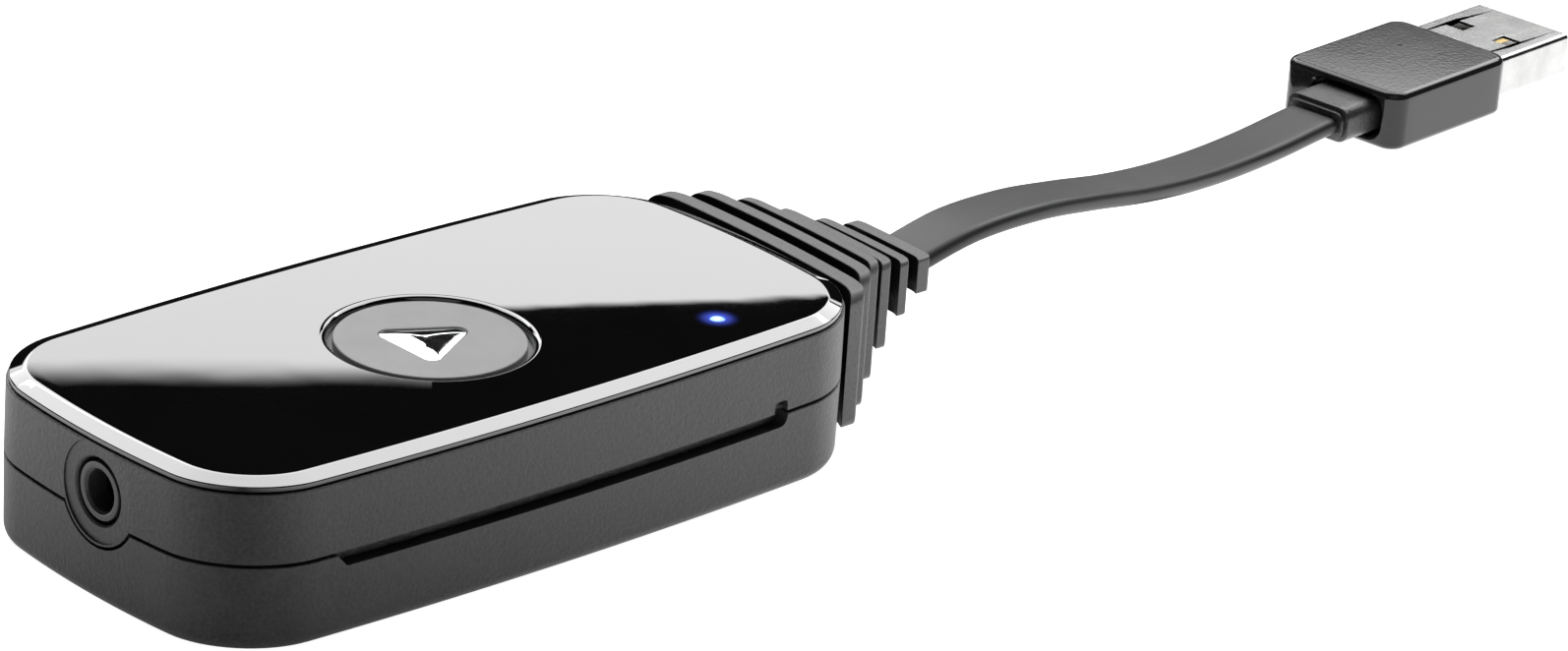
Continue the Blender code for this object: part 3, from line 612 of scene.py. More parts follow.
casingSetup = {
    "length": 75.0, "width": 38.4, "endBow": 1.75, "sideBow": 1.3, "corner": 7.9, "foot": 1.2,
    "parting": 7.8, "seam": 0.3, "rim": 14.2, "draft": 0.01, "wall": 1.6, "lip": 0.9, "floor": 1.4,
    "deckTop": 13.4, "deckUnder": 12.4,
    "cornerSteps": 16, "longSteps": 30, "shortSteps": 16,
    "slotStart": -25.8, "slotEnd": 24.8, "slotLow": 6.5, "slotHigh": 7.9,
    "slotSlant": 1.1, "slantLow": 7.75, "slotDepth": 1.3, "slotCorner": 0.9,
    "notch": (23.1, 24.7), "notchLow": 7.0, "notchTop": 9.0, "notchCorner": 0.45,
    "clearance": 0.3, "lipStep": 1.0, "lipBottom": 4.5, "insideCorner": 0.8,
    "rimEdge": 0.12, "seamEdge": 0.16,
    "posts": ((-16.0, 12.5), (27.0, 12.0)), "postProfile": ((2.0, 1.0), (2.0, 5.8), (0.75, 5.8), (0.75, 2.2)),
    "stemWay": (2.4, 11.0, 14.0), "lampWay": (1.5, 11.0, 14.0),
}
jackSetup = {
    "y": -1.5, "z": 10.1, "hole": 2.95, "barrel": 2.6, "bore": 1.8, "lobe": 4.7, "face": -37.2, "back": -35.0,
    "outside": -42.0
}
buttonSetup = {
    "x": -1.8, "y": -1.4, "radius": 8.4, "hole": 8.9, "top": 15.1, "flange": 9.6, "dish": 0.62,
    "flangeLow": 13.95, "flangeHigh": 14.15, "flangeRoom": 0.4, "roomLow": 13.0, "roomHigh": 14.45,
    "stem": 1.5, "stemLow": 10.85,
}
reliefSetup = {
    "y": 0.0, "turn": 0.052, "bow": 160.0, "end": 0.21, "opening": (34.0, 40.0, 5.4, 5.2, 11.2),
    "faces": (38.3, 41.05, 44.25, 47.3, 51.0, 54.1),
    "thickness": (1.8, 1.5, 1.15, 1.2, 1.1, 1.5),
    "halfWidth": (14.3, 12.05, 9.65, 7.8, 6.25, 5.3),
    "low": (1.4, 1.8, 2.8, 4.4, 6.2, 7.35),
    "high": (14.55, 14.75, 14.15, 12.9, 11.6, 10.85),
    "core": (
        (33.7, 6.6, 4.3, 12.1, 1.0), (35.1, 6.6, 4.3, 12.1, 1.0), (35.1, 5.0, 5.6, 10.8, 0.9),
        (38.0, 5.0, 5.6, 10.8, 0.9), (54.6, 3.5, 7.75, 10.35, 0.9), (55.3, 3.4, 7.8, 10.3, 0.9),
    ),
}


def bowed(x, y):
    halfLength = 0.5 * casingSetup["length"] - casingSetup["endBow"]
    halfWidth = 0.5 * casingSetup["width"] - casingSetup["sideBow"]
    outX = casingSetup["endBow"] * max(0.0, 1.0 - (y / halfWidth) ** 2) * max(-1.0, min(1.0, x / halfLength))
    outY = casingSetup["sideBow"] * max(0.0, 1.0 - (x / halfLength) ** 2) * max(-1.0, min(1.0, y / halfWidth))
    return x + outX, y + outY


# the casing's outline seen from above, moved in by the inset, at a height, all in mm
def outlineRing(inset, z):
    width = casingSetup["length"] - 2.0 * (casingSetup["endBow"] + inset)
    height = casingSetup["width"] - 2.0 * (casingSetup["sideBow"] + inset)
    radius = max(casingSetup["corner"] - inset, 0.5)
    flat = roundRect(
        width, height, radius, casingSetup["cornerSteps"], casingSetup["longSteps"], casingSetup["shortSteps"]
    )
    return [Vector((*bowed(x, y), z)) * mm for x, y in flat]


def sideY(x):
    return -bowed(x, 0.5 * casingSetup["width"] - casingSetup["sideBow"])[1]


# follows the near side; each station is (x, low z, high z)
def slotTool(name, stations):
    rings = []
    for x, low, high in stations:
        inside = sideY(x) + casingSetup["slotDepth"]
        outside = sideY(x) - 2.0
        corners = ((outside, low), (inside, low), (inside, high), (outside, high))
        rings.append([Vector((x, y, z)) * mm for y, z in corners])
    return loftRings(name, rings)


# long slot: slanted left end, rounded lower corner at the right end
def slotStations(setup):
    low = setup["slotLow"]
    high = setup["slotHigh"]
    radius = setup["slotCorner"]
    start = setup["slotStart"]
    slant = setup["slotSlant"]
    bend = setup["slotEnd"] - radius
    stations = [(start, setup["slantLow"], high), (start + slant, low, high)]
    stations += [(start + slant + (bend - start - slant) * k / 22, low, high) for k in range(1, 23)]
    stations += [(bend + radius * s, low + radius * (1.0 - c), high) for s, c in quarterTurn(6)[1:]]
    return stations


# small notch above the slot's end, with a rounded top
def notchStations(setup):
    x0, x1 = setup["notch"]
    radius = setup["notchCorner"]
    stations = []
    for s, c in quarterTurn(6):
        stations.append((x0 + radius * (1.0 - c), setup["notchLow"], setup["notchTop"] - radius * (1.0 - s)))
    return stations + [(x0 + x1 - x, low, high) for x, low, high in reversed(stations)]


def reliefOpening(name):
    x0, x1, half, z0, z1 = reliefSetup["opening"]
    return boxPiece(name, (x0, reliefSetup["y"] - half, z0), (x1, reliefSetup["y"] + half, z1))


def jackTool(name, profile, segments=96):
    return loftRings(name, lyingRings(profile, segments, jackSetup["y"], jackSetup["z"]))


# round hole straight down through the deck
def wellTool(name, way, segments, setup):
    radius, low, high = way
    return loftRings(name, latheRings([(radius, low), (radius, high)], segments, (setup["x"], setup["y"])))


def makeLowerShell(setup):
    foot = setup["foot"]
    wall = setup["wall"]
    lip = setup["lip"]
    path = []
    for s, c in quarterTurn(8):
        path.append((foot * (1.0 - s) + setup["draft"] * setup["parting"], foot * (1.0 - c)))
    top = setup["parting"] - 0.5 * setup["seam"]
    step = top + setup["lipStep"]
    upper = [
        (*path[-1], 0.0), (0.0, top, setup["seamEdge"]), (lip, top, 0.0), (lip, step, 0.0), (wall, step, 0.0)
    ]
    upper += [
        (wall, setup["floor"] + setup["insideCorner"], 0.0),
        (wall + setup["insideCorner"], setup["floor"], 0.0)
    ]
    path += softCorners(upper)[1:]
    shell = loftRings("lowerCasing", [outlineRing(inset, z) for inset, z in path])
    for index, at in enumerate(setup["posts"]):
        carve(shell, loftRings("postTool%d" % index, latheRings(setup["postProfile"], 32, at)), "UNION")
    lobe = jackSetup["lobe"] + setup["clearance"]
    carve(shell, jackTool("lobeTool", [(lobe, jackSetup["outside"]), (lobe, -33.0)]))
    carve(shell, slotTool("slotTool", slotStations(setup)))
    carve(shell, reliefOpening("lowerOutletTool"))
    return settle(shell)


def makeUpperShell(setup):
    thin = setup["lip"] - setup["clearance"]
    wall = setup["wall"]
    low = setup["lipBottom"]
    rim = setup["rim"]
    parting = setup["parting"]
    soft = setup["rimEdge"]
    lean = setup["draft"] * (rim - parting)
    points = [
        (wall, setup["deckUnder"], 0.0), (wall, parting + 1.3, 0.0), (thin, parting + 1.3, 0.0),
        (thin, low, 0.0)
    ]
    points += [
        (0.0, low, 0.0), (0.0, parting, 0.0), (lean, rim, soft), (wall, rim, soft),
        (wall, setup["deckTop"], 0.0)
    ]
    shell = loftRings("upperCasing", [outlineRing(inset, z) for inset, z in softCorners(points, 5)])
    below = boxPiece("partingTool", (-50.0, -30.0, -1.0), (50.0, 30.0, parting + 0.5 * setup["seam"]))
    lobe = jackSetup["lobe"]
    hole = jackSetup["hole"]
    outside = jackSetup["outside"]
    carve(below, jackTool("keepTool", [(lobe, outside), (lobe, -30.0)]))
    settle(below, weighted=False)
    carve(shell, below)
    mouth = [(hole + 0.3, outside), (hole + 0.3, -37.45), (hole, -37.15), (hole, -33.0)]
    carve(shell, jackTool("jackHoleTool", mouth, 80))
    carve(shell, jackTool("jackFaceTool", [(lobe - 0.2, outside), (lobe - 0.2, -37.3)]))
    carve(shell, slotTool("notchTool", notchStations(setup)))
    carve(shell, reliefOpening("upperOutletTool"))
    carve(shell, wellTool("stemTool", setup["stemWay"], 40, buttonSetup))
    carve(shell, wellTool("lampTool", setup["lampWay"], 32, lampSetup))
    return settle(shell)


lowerCasing = makeLowerShell(casingSetup)
upperCasing = makeUpperShell(casingSetup)
dress(lowerCasing, "casing", "lower_shell")
dress(upperCasing, "casing", "upper_shell")
print("casing made")


# top plate

plateSetup = {
    "inset": 0.3, "gap": 0.13, "edge": 14.75, "top": 15.25, "bevel": 1.45, "dishDepth": 0.5, "lampGap": 0.06
}


def makePlate(setup):
    step = casingSetup["wall"] + casingSetup["clearance"]
    under = casingSetup["rim"] + setup["gap"]
    low = casingSetup["deckTop"] + casingSetup["clearance"]
    inset = setup["inset"]
    top = setup["top"]
    flat = inset + setup["bevel"]
    points = [(step, low, 0.0), (step, under, 0.0), (inset, under, 0.08), (inset, setup["edge"], 0.12)]
    points += [(flat, top, 0.22), (flat + 1.2, top, 0.0)]
    plate = loftRings("topPlate", [outlineRing(i, z) for i, z in softCorners(points, 6)])
    hole = buttonSetup["hole"]
    dish = buttonSetup["dish"]
    depth = setup["dishDepth"]
    profile = [(hole, 12.0)] + [
        (hole + dish * (1.0 - c), top - depth + depth * s) for s, c in quarterTurn(10)
    ]
    profile.append((hole + dish + 0.05, top + 0.6))
    carve(plate, loftRings("buttonHoleTool", latheRings(profile, 144, (buttonSetup["x"], buttonSetup["y"]))))
    room = (
        buttonSetup["flange"] + buttonSetup["flangeRoom"], buttonSetup["roomLow"], buttonSetup["roomHigh"]
    )
    carve(plate, wellTool("flangeTool", room, 96, buttonSetup))
    carve(
        plate, wellTool("lampHoleTool", (lampSetup["radius"] + setup["lampGap"], 13.0, 16.0), 48, lampSetup)
    )
    return settle(plate, 25.0)


def makeLens(setup):
    radius = setup["radius"]
    foot = [(1.1, 8.2), (1.1, 13.0), (radius, setup["shoulder"])]
    head = [(radius, setup["shoulder"], 0.0), (radius, setup["top"], 0.2), (0.2, setup["top"], 0.0)]
    return loftRings("lampLens", latheRings(foot + softCorners(head, 5)[1:], 40, (setup["x"], setup["y"])))


topPlate = makePlate(plateSetup)
dress(topPlate, "plate", "top_plate")

lampLensPiece = makeLens(lampSetup)
dress(lampLensPiece, "lamp", "lamp_lens")
print("plate and lamp made")


# push button

symbolSetup = {
    "corners": ((-3.1, 4.3), (-3.1, -4.3), (4.7, 0.0)), "radius": 0.9, "seat": 0.4, "dome": 0.42, "steps": 12,
    "foot": 0.12, "edge": 0.3
}


# rounded play triangle about the button's centre, grown by a margin, in mm
def playOutline(grow):
    corners = [Vector(c) for c in symbolSetup["corners"]]
    radius = symbolSetup["radius"]
    steps = symbolSetup["steps"]
    points = []
    for k, corner in enumerate(corners):
        before = (corners[k - 1] - corner).normalized()
        after = (corners[(k + 1) % 3] - corner).normalized()
        half = 0.5 * before.angle(after)
        centre = corner + (before + after).normalized() * radius / sin(half)
        sides = []
        for way in (before, after):
            side = way.orthogonal()
            sides.append(-side if side.dot(centre - corner) > 0.0 else side)
        for step in range(steps + 1):
            points.append(centre + sides[0].slerp(sides[1], step / steps) * (radius + grow))
    dense = []
    for a, b in zip(points, points[1:] + points[:1]):
        parts = 8 if (b - a).length > 2.0 else 1
        dense += [a.lerp(b, n / parts) for n in range(parts)]
    return dense


def signRing(setup, outline, z):
    return [Vector((setup["x"] + p.x, setup["y"] + p.y, z)) * mm for p in outline]


def makeButton(setup):
    top = setup["top"]
    stem = setup["stem"]
    low = setup["stemLow"]
    flange = setup["flange"]
    under = setup["flangeLow"]
    over = setup["flangeHigh"]
    radius = setup["radius"]
    points = [
        (stem - 0.1, low, 0.0), (stem, low + 0.1, 0.0), (stem, under - 0.3, 0.0), (stem + 0.6, under, 0.0)
    ]
    points += [
        (flange, under, 0.0), (flange, over, 0.0), (radius, over, 0.0), (radius, top, 0.2),
        (radius - 1.0, top, 0.0)
    ]
    cap = loftRings("buttonDisc", latheRings(softCorners(points, 5), 144, (setup["x"], setup["y"])))
    floor = top - symbolSetup["seat"]
    levels = ((0.12, floor), (0.12, top - 0.07), (0.22, top), (0.3, top + 1.0))
    carve(cap, loftRings("seatTool", [signRing(setup, playOutline(grow), z) for grow, z in levels]))
    return settle(cap)


# domed sign: the rings shrink towards the middle as they rise
def makeSymbol(setup):
    floor = setup["top"] - symbolSetup["seat"]
    edge = floor + symbolSetup["edge"]
    base = playOutline(0.0)
    rings = [signRing(setup, base, z) for z in (floor + symbolSetup["foot"], edge)]
    middle = sum(base, Vector((0.0, 0.0))) / len(base)
    for k in range(1, 15):
        share = k / 15.0
        rise = symbolSetup["dome"] * (1.0 - (1.0 - share) ** 2)
        rings.append(signRing(setup, [p.lerp(middle, share) for p in base], edge + rise))
    return loftRings("playSymbol", rings, 60.0)


buttonDisc = makeButton(buttonSetup)
playSymbol = makeSymbol(buttonSetup)
dress(buttonDisc, "button", "button_cap", "button")
dress(playSymbol, "chrome", "play_symbol", "button")
print("button made")


# headphone jack

def makeBarrel(setup):
    face = setup["face"]
    back = setup["back"]
    inner = setup["bore"]
    outer = setup["barrel"]
    points = [(inner, back, 0.0), (inner, face + 0.25, 0.0), (inner + 0.22, face, 0.12), (outer, face, 0.14)]
    points += [(outer, back, 0.0), (inner, back, 0.0)]
    rings = lyingRings(softCorners(points)[:-1], 80, setup["y"], setup["z"])
    return loftRings("jackBarrel", rings, closed=True)


jackBarrel = makeBarrel(jackSetup)
dress(jackBarrel, "jackPlastic", "jack_barrel")
print("jack made")


# strain relief

# one rib of half width 1 and half height 1, one thick, its faces at x 0 and 1
def makeUnitRib():
    path = [(0.0, 0.58), (0.0, 0.79), (0.0, 0.955)]
    path += [(0.13 * (1.0 - c), 0.985 + 0.015 * s) for s, c in quarterTurn(4)]
    path += [(1.0 - x, r) for x, r in reversed(path)]
    rings = []
    for x, reach in path:
        pull = 1.0 - reach
        radius = max(0.02, 0.08 - 0.3 * pull)
        flat = reach - radius
        ring = []
        for y, z in roundRect(2.0 * reach, 2.0 * 0.49 - 2.0 * pull, radius, 6, 22):
            if abs(y) < flat:
                y = flat * sin(0.5 * pi * y / flat)
            ring.append(Vector((x, y, z / 0.49)))
        rings.append(ring)
    return loftRings("unitRib", rings)


# stands one rib at each point of a line, scaled by the line's size attribute,
# then turns, bows and rounds them off
def ribTree(material, rib):
    tree = bpy.data.node_groups.new("reliefRibs", "GeometryNodeTree")
    tree.interface.new_socket("Geometry", in_out="INPUT", socket_type="NodeSocketGeometry")
    sockets = {"Rib": rib, "Axis Y": reliefSetup["y"] * mm, "Turn": reliefSetup["turn"]}
    sockets.update({"Bow Radius": reliefSetup["bow"] * mm, "End Share": reliefSetup["end"]})
    settings = {}
    for name, value in sockets.items():
        kind = "NodeSocketFloat" if isinstance(value, float) else "NodeSocketObject"
        settings[tree.interface.new_socket(name, in_out="INPUT", socket_type=kind).identifier] = value
    tree.interface.new_socket("Geometry", in_out="OUTPUT", socket_type="NodeSocketGeometry")
    new = tree.nodes.new

    def calc(operation, a, b=None):
        return combine(tree, a, b, operation)

    source = new("NodeGroupInput")
    result = new("NodeGroupOutput")
    size = new("GeometryNodeInputNamedAttribute")
    size.data_type = "FLOAT_VECTOR"
    size.inputs["Name"].default_value = "ribSize"
    info = new("GeometryNodeObjectInfo")
    feed(source.outputs["Rib"], info, "Object")
    stand = new("GeometryNodeInstanceOnPoints")
    feed(source.outputs["Geometry"], stand, "Points")
    feed(info.outputs["Geometry"], stand, "Instance")
    feed(size.outputs["Attribute"], stand, "Scale")
    real = new("GeometryNodeRealizeInstances")
    feed(stand.outputs["Instances"], real, "Geometry")
    position = new("GeometryNodeInputPosition")
    parts = new("ShaderNodeSeparateXYZ")
    feed(position.outputs["Position"], parts, "Vector")
    extent = new("ShaderNodeSeparateXYZ")
    feed(size.outputs["Attribute"], extent, "Vector")
    across = calc("SUBTRACT", parts.outputs["Y"], source.outputs["Axis Y"])
    bow = calc(
        "DIVIDE", calc("MULTIPLY", calc("MULTIPLY", across, across), 0.5), source.outputs["Bow Radius"]
    )
    reach = calc("MULTIPLY", extent.outputs["Y"], source.outputs["End Share"])
    past = calc("SUBTRACT", calc("ABSOLUTE", across), calc("SUBTRACT", extent.outputs["Y"], reach))
    over = calc("MINIMUM", calc("MAXIMUM", past, 0.0), reach)
    radius = calc("MULTIPLY", reach, 1.45)
    rest = calc("SQRT", calc("SUBTRACT", calc("MULTIPLY", radius, radius), calc("MULTIPLY", over, over)))
    drop = calc("SUBTRACT", radius, rest)
    ahead = calc("SUBTRACT", calc("SUBTRACT", calc("MULTIPLY", across, source.outputs["Turn"]), bow), drop)
    shift = new("ShaderNodeCombineXYZ")
    feed(ahead, shift, "X")
    move = new("GeometryNodeSetPosition")
    feed(real.outputs["Geometry"], move, "Geometry")
    feed(shift.outputs["Vector"], move, "Offset")
    paint = new("GeometryNodeSetMaterial")
    paint.inputs["Material"].default_value = material
    feed(move.outputs["Geometry"], paint, "Geometry")
    feed(paint.outputs["Geometry"], result, "Geometry")
    return tree, settings


def makeRibs(setup, material):
    rib = makeUnitRib()
    line = bpy.data.meshes.new("reliefRibs")
    rows = list(zip(setup["faces"], setup["thickness"], setup["halfWidth"], setup["low"], setup["high"]))
    line.from_pydata(
        [(x * mm, setup["y"] * mm, 0.5 * (low + high) * mm) for x, thick, half, low, high in rows], [], []
    )
    sizes = line.attributes.new("ribSize", "FLOAT_VECTOR", "POINT")
    for item, (x, thick, half, low, high) in zip(sizes.data, rows):
        item.vector = (thick * mm, half * mm, 0.5 * (high - low) * mm)
    ribs = linked("reliefRibs", line)
    tree, settings = ribTree(material, rib)
    modifier = ribs.modifiers.new("ribs", "NODES")
    modifier.node_group = tree
    for key, value in settings.items():
        modifier[key] = value
    settle(ribs)
    ribs.data.attributes.remove(ribs.data.attributes["ribSize"])
    bpy.data.objects.remove(rib, do_unlink=True)
    return ribs


# the tapered body inside the ribs, with the flange that sits in the casing's end wall
def makeReliefCore(setup):
    rings = []
    for x, half, low, high, radius in setup["core"]:
        section = roundRect(2.0 * half, high - low, radius, 5, 6)
        rings.append(crossRing(section, x, setup["y"], 0.5 * (low + high)))
    return loftRings("reliefCore", rings)


reliefRibs = makeRibs(reliefSetup, finishes["relief"])
reliefCore = makeReliefCore(reliefSetup)
dress(reliefRibs, "relief", "strain_relief")
dress(reliefCore, "relief", "strain_relief")
print("strain relief made")


# USB plug

def makeMould(setup):
    length = setup["mouldLength"]
    wide = setup["mouldWidth"]
    high = setup["mouldHeight"]
    edge = setup["mouldEdge"]
    path = [(edge * (1.0 - s), edge * (1.0 - c)) for s, c in quarterTurn(7)]
    path += [(pull, high - z) for pull, z in reversed(path)]
    middle = -(setup["sleeveLength"] + 0.5 * length)
    rings = []
    for pull, z in path:
        section = roundRect(length - 2.0 * pull, wide - 2.0 * pull, setup["mouldCorner"] - pull, 8, 10, 8)
        rings.append([Vector((middle + x, y, z)) * mm for x, y in section])
    mould = loftRings("plugMould", rings)
    back = -(setup["sleeveLength"] + length)
    z = 0.5 * high
    halfWide = 0.5 * setup["sleeveWidth"] + setup["sleeveGap"]
    halfHigh = 0.5 * setup["sleeveHeight"] + setup["sleeveGap"]
    carve(mould, boxPiece("sleeveTool", (-16.3, -halfWide, z - halfHigh), (-11.0, halfWide, z + halfHigh)))
    lip = setup["pocketLip"]
    pocket = []
    for grow, x in (
        (lip, back - 2.0), (lip, back - 0.02), (0.0, back + lip), (0.0, back + setup["pocketDepth"])
    ):
        size = (setup["pocketWidth"] + 2.0 * grow, setup["pocketHeight"] + 2.0 * grow)
        section = roundRect(*size, setup["pocketCorner"] + grow, 8)
        pocket.append(crossRing(section, x, setup["neckY"], setup["neckZ"]))
    carve(mould, loftRings("pocketTool", pocket))
    settle(mould)
    mould.data.transform(plugFrame())
    return mould


def makeNeck(setup):
    end = -(setup["sleeveLength"] + setup["mouldLength"] + setup["neckLength"])
    points = [
        (0.0, 6.8, 0.0), (0.0, 7.0, 0.1), (0.55, 7.0, 0.0), (0.55, 7.8, 0.2),
        (setup["neckLength"] + 2.3, 7.8, 0.0)
    ]
    rings = []
    for along, wide in softCorners(points, 4):
        high = 3.7 * wide / 7.8 if wide > 7.05 else 2.8 * wide / 7.0
        section = roundRect(wide, high, 0.34 * high, 7, 6)
        rings.append(crossRing(section, end + along, setup["neckY"], setup["neckZ"]))
    neck = loftRings("plugNeck", rings)
    neck.data.transform(plugFrame())
    return neck


# pressed metal sleeve, open at both ends, with two windows above and two below and one seam tab
def makeSleeve(setup):
    wide = setup["sleeveWidth"]
    high = setup["sleeveHeight"]
    sheet = setup["sheet"]
    z = 0.5 * setup["mouldHeight"]
    back = setup["sleeveBack"]
    points = [(sheet, back, 0.0), (0.0, back, 0.05), (0.0, 0.0, 0.1), (sheet, 0.0, 0.1), (sheet, -0.6, 0.0)]
    rings = []
    for inset, x in softCorners(points, 3):
        section = roundRect(wide - 2.0 * inset, high - 2.0 * inset, 0.55 - 0.8 * inset, 6, 10)
        rings.append(crossRing(section, x, 0.0, z))
    sleeve = loftRings("plugSleeve", rings, closed=True)
    x0, x1 = setup["windowReach"]
    half = setup["windowHalf"]
    for index, (y, z0, z1) in enumerate(setup["windows"]):
        carve(sleeve, boxPiece("windowTool%d" % index, (x0, y - half, z0), (x1, y + half, z1)))
    carve(sleeve, boxPiece("tabTool", (-11.7, -0.3, 4.6), (-10.9, 1.1, 7.0)))
    easeEdges(sleeve, 0.06, 50.0)
    settle(sleeve)
    sleeve.data.transform(plugFrame())
    return sleeve


plugMould = makeMould(plugSetup)
plugNeck = makeNeck(plugSetup)
plugSleeve = makeSleeve(plugSetup)
dress(plugMould, "mould", "plug_mould")
dress(plugNeck, "neck", "plug_neck")
dress(plugSleeve, "nickel", "usb_shell")

contactNodes = ["usb_contact_%d" % k for k in range(1, 5)]
print("plug made")


# finishes of the CAD pieces that stay

innerFinishes = {
    "chip": ("switch_base", "audio_chip", "power_chip", "filter_coil", "ground_wire"),
    "steel": (
        "switch_plunger", "board_screw_1", "board_screw_2", "module_shield", "crystal", "output_capacitor_1",
        "output_capacitor_2", "supply_capacitor"
    ),
    "ceramic": ("lamp_chip", "chip_antenna"),
    "board": ("circuit_board", "radio_module"),
    "jackPlastic": ("jack_body",),
    "gold": ("jack_sleeve_contact", "jack_ring_contact", "jack_tip_contact", *contactNodes),
    "tongue": ("usb_tongue",),
    "wire": ("power_wire",),
}
for finish, nodes in innerFinishes.items():
    for piece in [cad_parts[node] for node in nodes]:
        if piece.material_slots:
            for slot in piece.material_slots:
                slot.material = finishes[finish]
        else:
            piece.data.materials.append(finishes[finish])
print("inner pieces finished:", sum(len(nodes) for nodes in innerFinishes.values()))


# studio

studio = {
    "floorSize": 6.0, "drop": 0.0002, "floorGlow": 0.97,
    "mirrorLow": 0.15, "mirrorHigh": 2.6, "mirrorReach": 0.09, "mirrorMiddle": -0.013, "mirrorEdge": 0.07,
    "cardForward": 1.5, "cardWidth": 2.4, "cardLight": 3.5, "cardStep": -0.0923,
    "cardBottom": 0.499, "cardLowFade": 0.034, "cardLeft": {"top": 0.6694, "tilt": 0.073, "fade": 0.012},
    "cardRight": {"top": 0.6372, "tilt": 0.11, "fade": 0.003},
    "forward": (0.7035, 0.7107, 0.0), "side": (0.7107, -0.7035, 0.0), "lampsAbout": (0.03, 0.0, 0.0),
    "key": {"brightness": 5.5, "size": (2.6, 1.1), "elevation": 56.0, "azimuth": 45.0, "distance": 1.6},
    "wing": {"brightness": 5.0, "size": (0.5, 0.46), "elevation": 30.0, "distance": 1.6}, "wingSpread": 21.0,
    "fill": {"brightness": 0.4, "size": (1.2, 1.2), "elevation": 48.0, "azimuth": 225.0, "distance": 1.5},
}


def stagePlane(name, corners, material):
    bm = bmesh.new()
    for start in range(0, len(corners), 4):
        bm.faces.new([bm.verts.new(c) for c in corners[start:start + 4]])
    mesh = bpy.data.meshes.new(name)
    bm.to_mesh(mesh)
    bm.free()
    plane = linked(name, mesh)
    mesh.materials.append(material)
    return plane


def floorPaint():
    material, tree, shader, place = startMaterial("floorPaint", 0.9)
    broad = noiseField(tree, place, 160.0, 3.0, 0.5)
    feed(tint(tree, broad, ((0.3, (0.52, 0.52, 0.52)), (0.7, (0.55, 0.55, 0.55)))), shader, "Base Color")
    white = (1.0, 1.0, 1.0, 1.0)
    preset(
        shader, {"Specular IOR Level": 0.1, "Emission Color": white, "Emission Strength": studio["floorGlow"]}
    )
    return material


def glowTree(name):
    material, tree, surface = emptyMaterial(name)
    glow = addNode(tree, "Emission")
    tree.links.new(glow.outputs["Emission"], surface)
    return material, tree, glow, addNode(tree, "TexCoord").outputs["Object"]


# glowing card whose light fades out below its tilted top edge and above its foot
def cardPaper(name, side, top, tilt, fade):
    material, tree, glow, place = glowTree(name)
    upper = spread(
        tree, along(tree, place, (side.x * tilt, side.y * tilt, 1.0)), studio["cardLight"], 0.0, top - fade,
        top, True
    )
    foot = studio["cardBottom"]
    lower = spread(
        tree, along(tree, place, (0.0, 0.0, 1.0)), 0.0, 1.0, foot, foot + studio["cardLowFade"], True
    )
    feed(combine(tree, upper, lower, "MULTIPLY"), glow, "Strength")
    return material


# what the glossy pieces see of the floor: dark before the near corner, bright to either side
def mirrorPaper(side):
    material, tree, glow, place = glowTree("mirrorFloor")
    broad = noiseField(tree, place, 200.0, 2.0, 0.5)
    aside = combine(
        tree, combine(tree, along(tree, place, tuple(side)), studio["mirrorMiddle"], "SUBTRACT"), 0.0,
        "ABSOLUTE"
    )
    light = spread(tree, aside, studio["mirrorLow"], studio["mirrorHigh"], 0.0, studio["mirrorReach"])
    feed(combine(tree, light, spread(tree, broad, 0.97, 1.03), "MULTIPLY"), glow, "Strength")
    return material


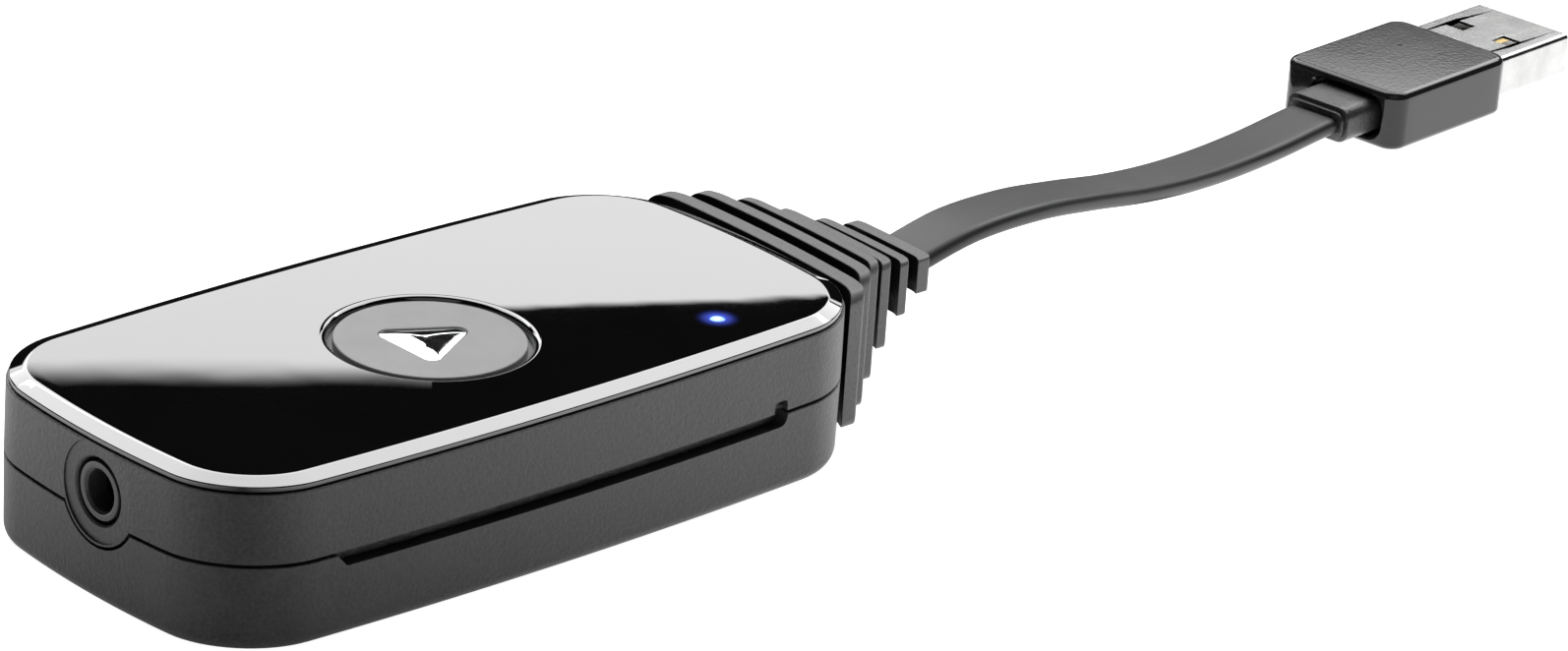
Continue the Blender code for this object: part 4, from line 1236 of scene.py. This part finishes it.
# lamp of an even brightness over its whole face
def areaLight(name, brightness, size, elevation, azimuth, distance):
    light = bpy.data.lights.new(name, "AREA")
    light.shape = "RECTANGLE"
    light.size = size[0]
    light.size_y = size[1]
    light.energy = brightness * pi * size[0] * size[1]
    lamp = linked(name, light)
    e = radians(elevation)
    a = radians(azimuth)
    away = Vector((cos(a) * cos(e), sin(a) * cos(e), sin(e)))
    across = Vector((-sin(a), cos(a), 0.0))
    up = away.cross(across)
    turn = Matrix((across, up, away)).transposed().to_4x4()
    lamp.matrix_world = Matrix.Translation(Vector(studio["lampsAbout"]) + away * distance) @ turn
    lamp.visible_camera = False


def makeStudio(setup):
    half = 0.5 * setup["floorSize"]
    forward = Vector(setup["forward"])
    side = Vector(setup["side"])
    corners = [
        (x, y, -setup["drop"]) for x, y in ((-half, -half), (half, -half), (half, half), (-half, half))
    ]
    floor = stagePlane("floor", corners, floorPaint())
    floor.visible_glossy = False
    edge = setup["mirrorEdge"]
    corners = []
    near = ((-half, -half), (half, -half), (half, edge), (-half, edge))
    for s, f in near + ((edge, edge), (half, edge), (half, half), (edge, half)):
        corners.append(side * s + forward * f - Vector((0.0, 0.0, 2.0 * setup["drop"])))
    mirror = stagePlane("floorMirrored", corners, mirrorPaper(side))
    mirror.visible_camera = False
    mirror.visible_diffuse = False
    mirror.visible_shadow = False
    reach = 0.5 * setup["cardWidth"]
    foot = setup["cardBottom"]
    for name, start, end in (
        ("cardLeft", -reach, setup["cardStep"]), ("cardRight", setup["cardStep"], reach)
    ):
        top = setup[name]["top"]
        tilt = setup[name]["tilt"]
        base = forward * setup["cardForward"]
        corners = []
        for s, z in ((start, foot), (end, foot), (end, top - tilt * end), (start, top - tilt * start)):
            corners.append(base + side * s + Vector((0.0, 0.0, z)))
        card = stagePlane(name, corners, cardPaper(name + "Paper", side, top, tilt, setup[name]["fade"]))
        card.visible_camera = False
    areaLight("keyLight", **setup["key"])
    for name, way in (("wingLeft", 1.0), ("wingRight", -1.0)):
        areaLight(name, azimuth=setup["key"]["azimuth"] + way * setup["wingSpread"], **setup["wing"])
    areaLight("fillLight", **setup["fill"])
    world = bpy.data.worlds.new("studio")
    scene.world = world
    world.use_nodes = True
    tree = world.node_tree
    tree.nodes.clear()
    output = addNode(tree, "OutputWorld")
    background = addNode(tree, "Background")
    feed(background.outputs["Background"], output, "Surface")
    seen = addNode(tree, "LightPath").outputs["Is Camera Ray"]
    feed(spread(tree, seen, 0.01, 1.0, 0.0, 1.0), background, "Strength")
    preset(background, {"Color": (1.0, 1.0, 1.0, 1.0)})


makeStudio(studio)
print("studio lit")
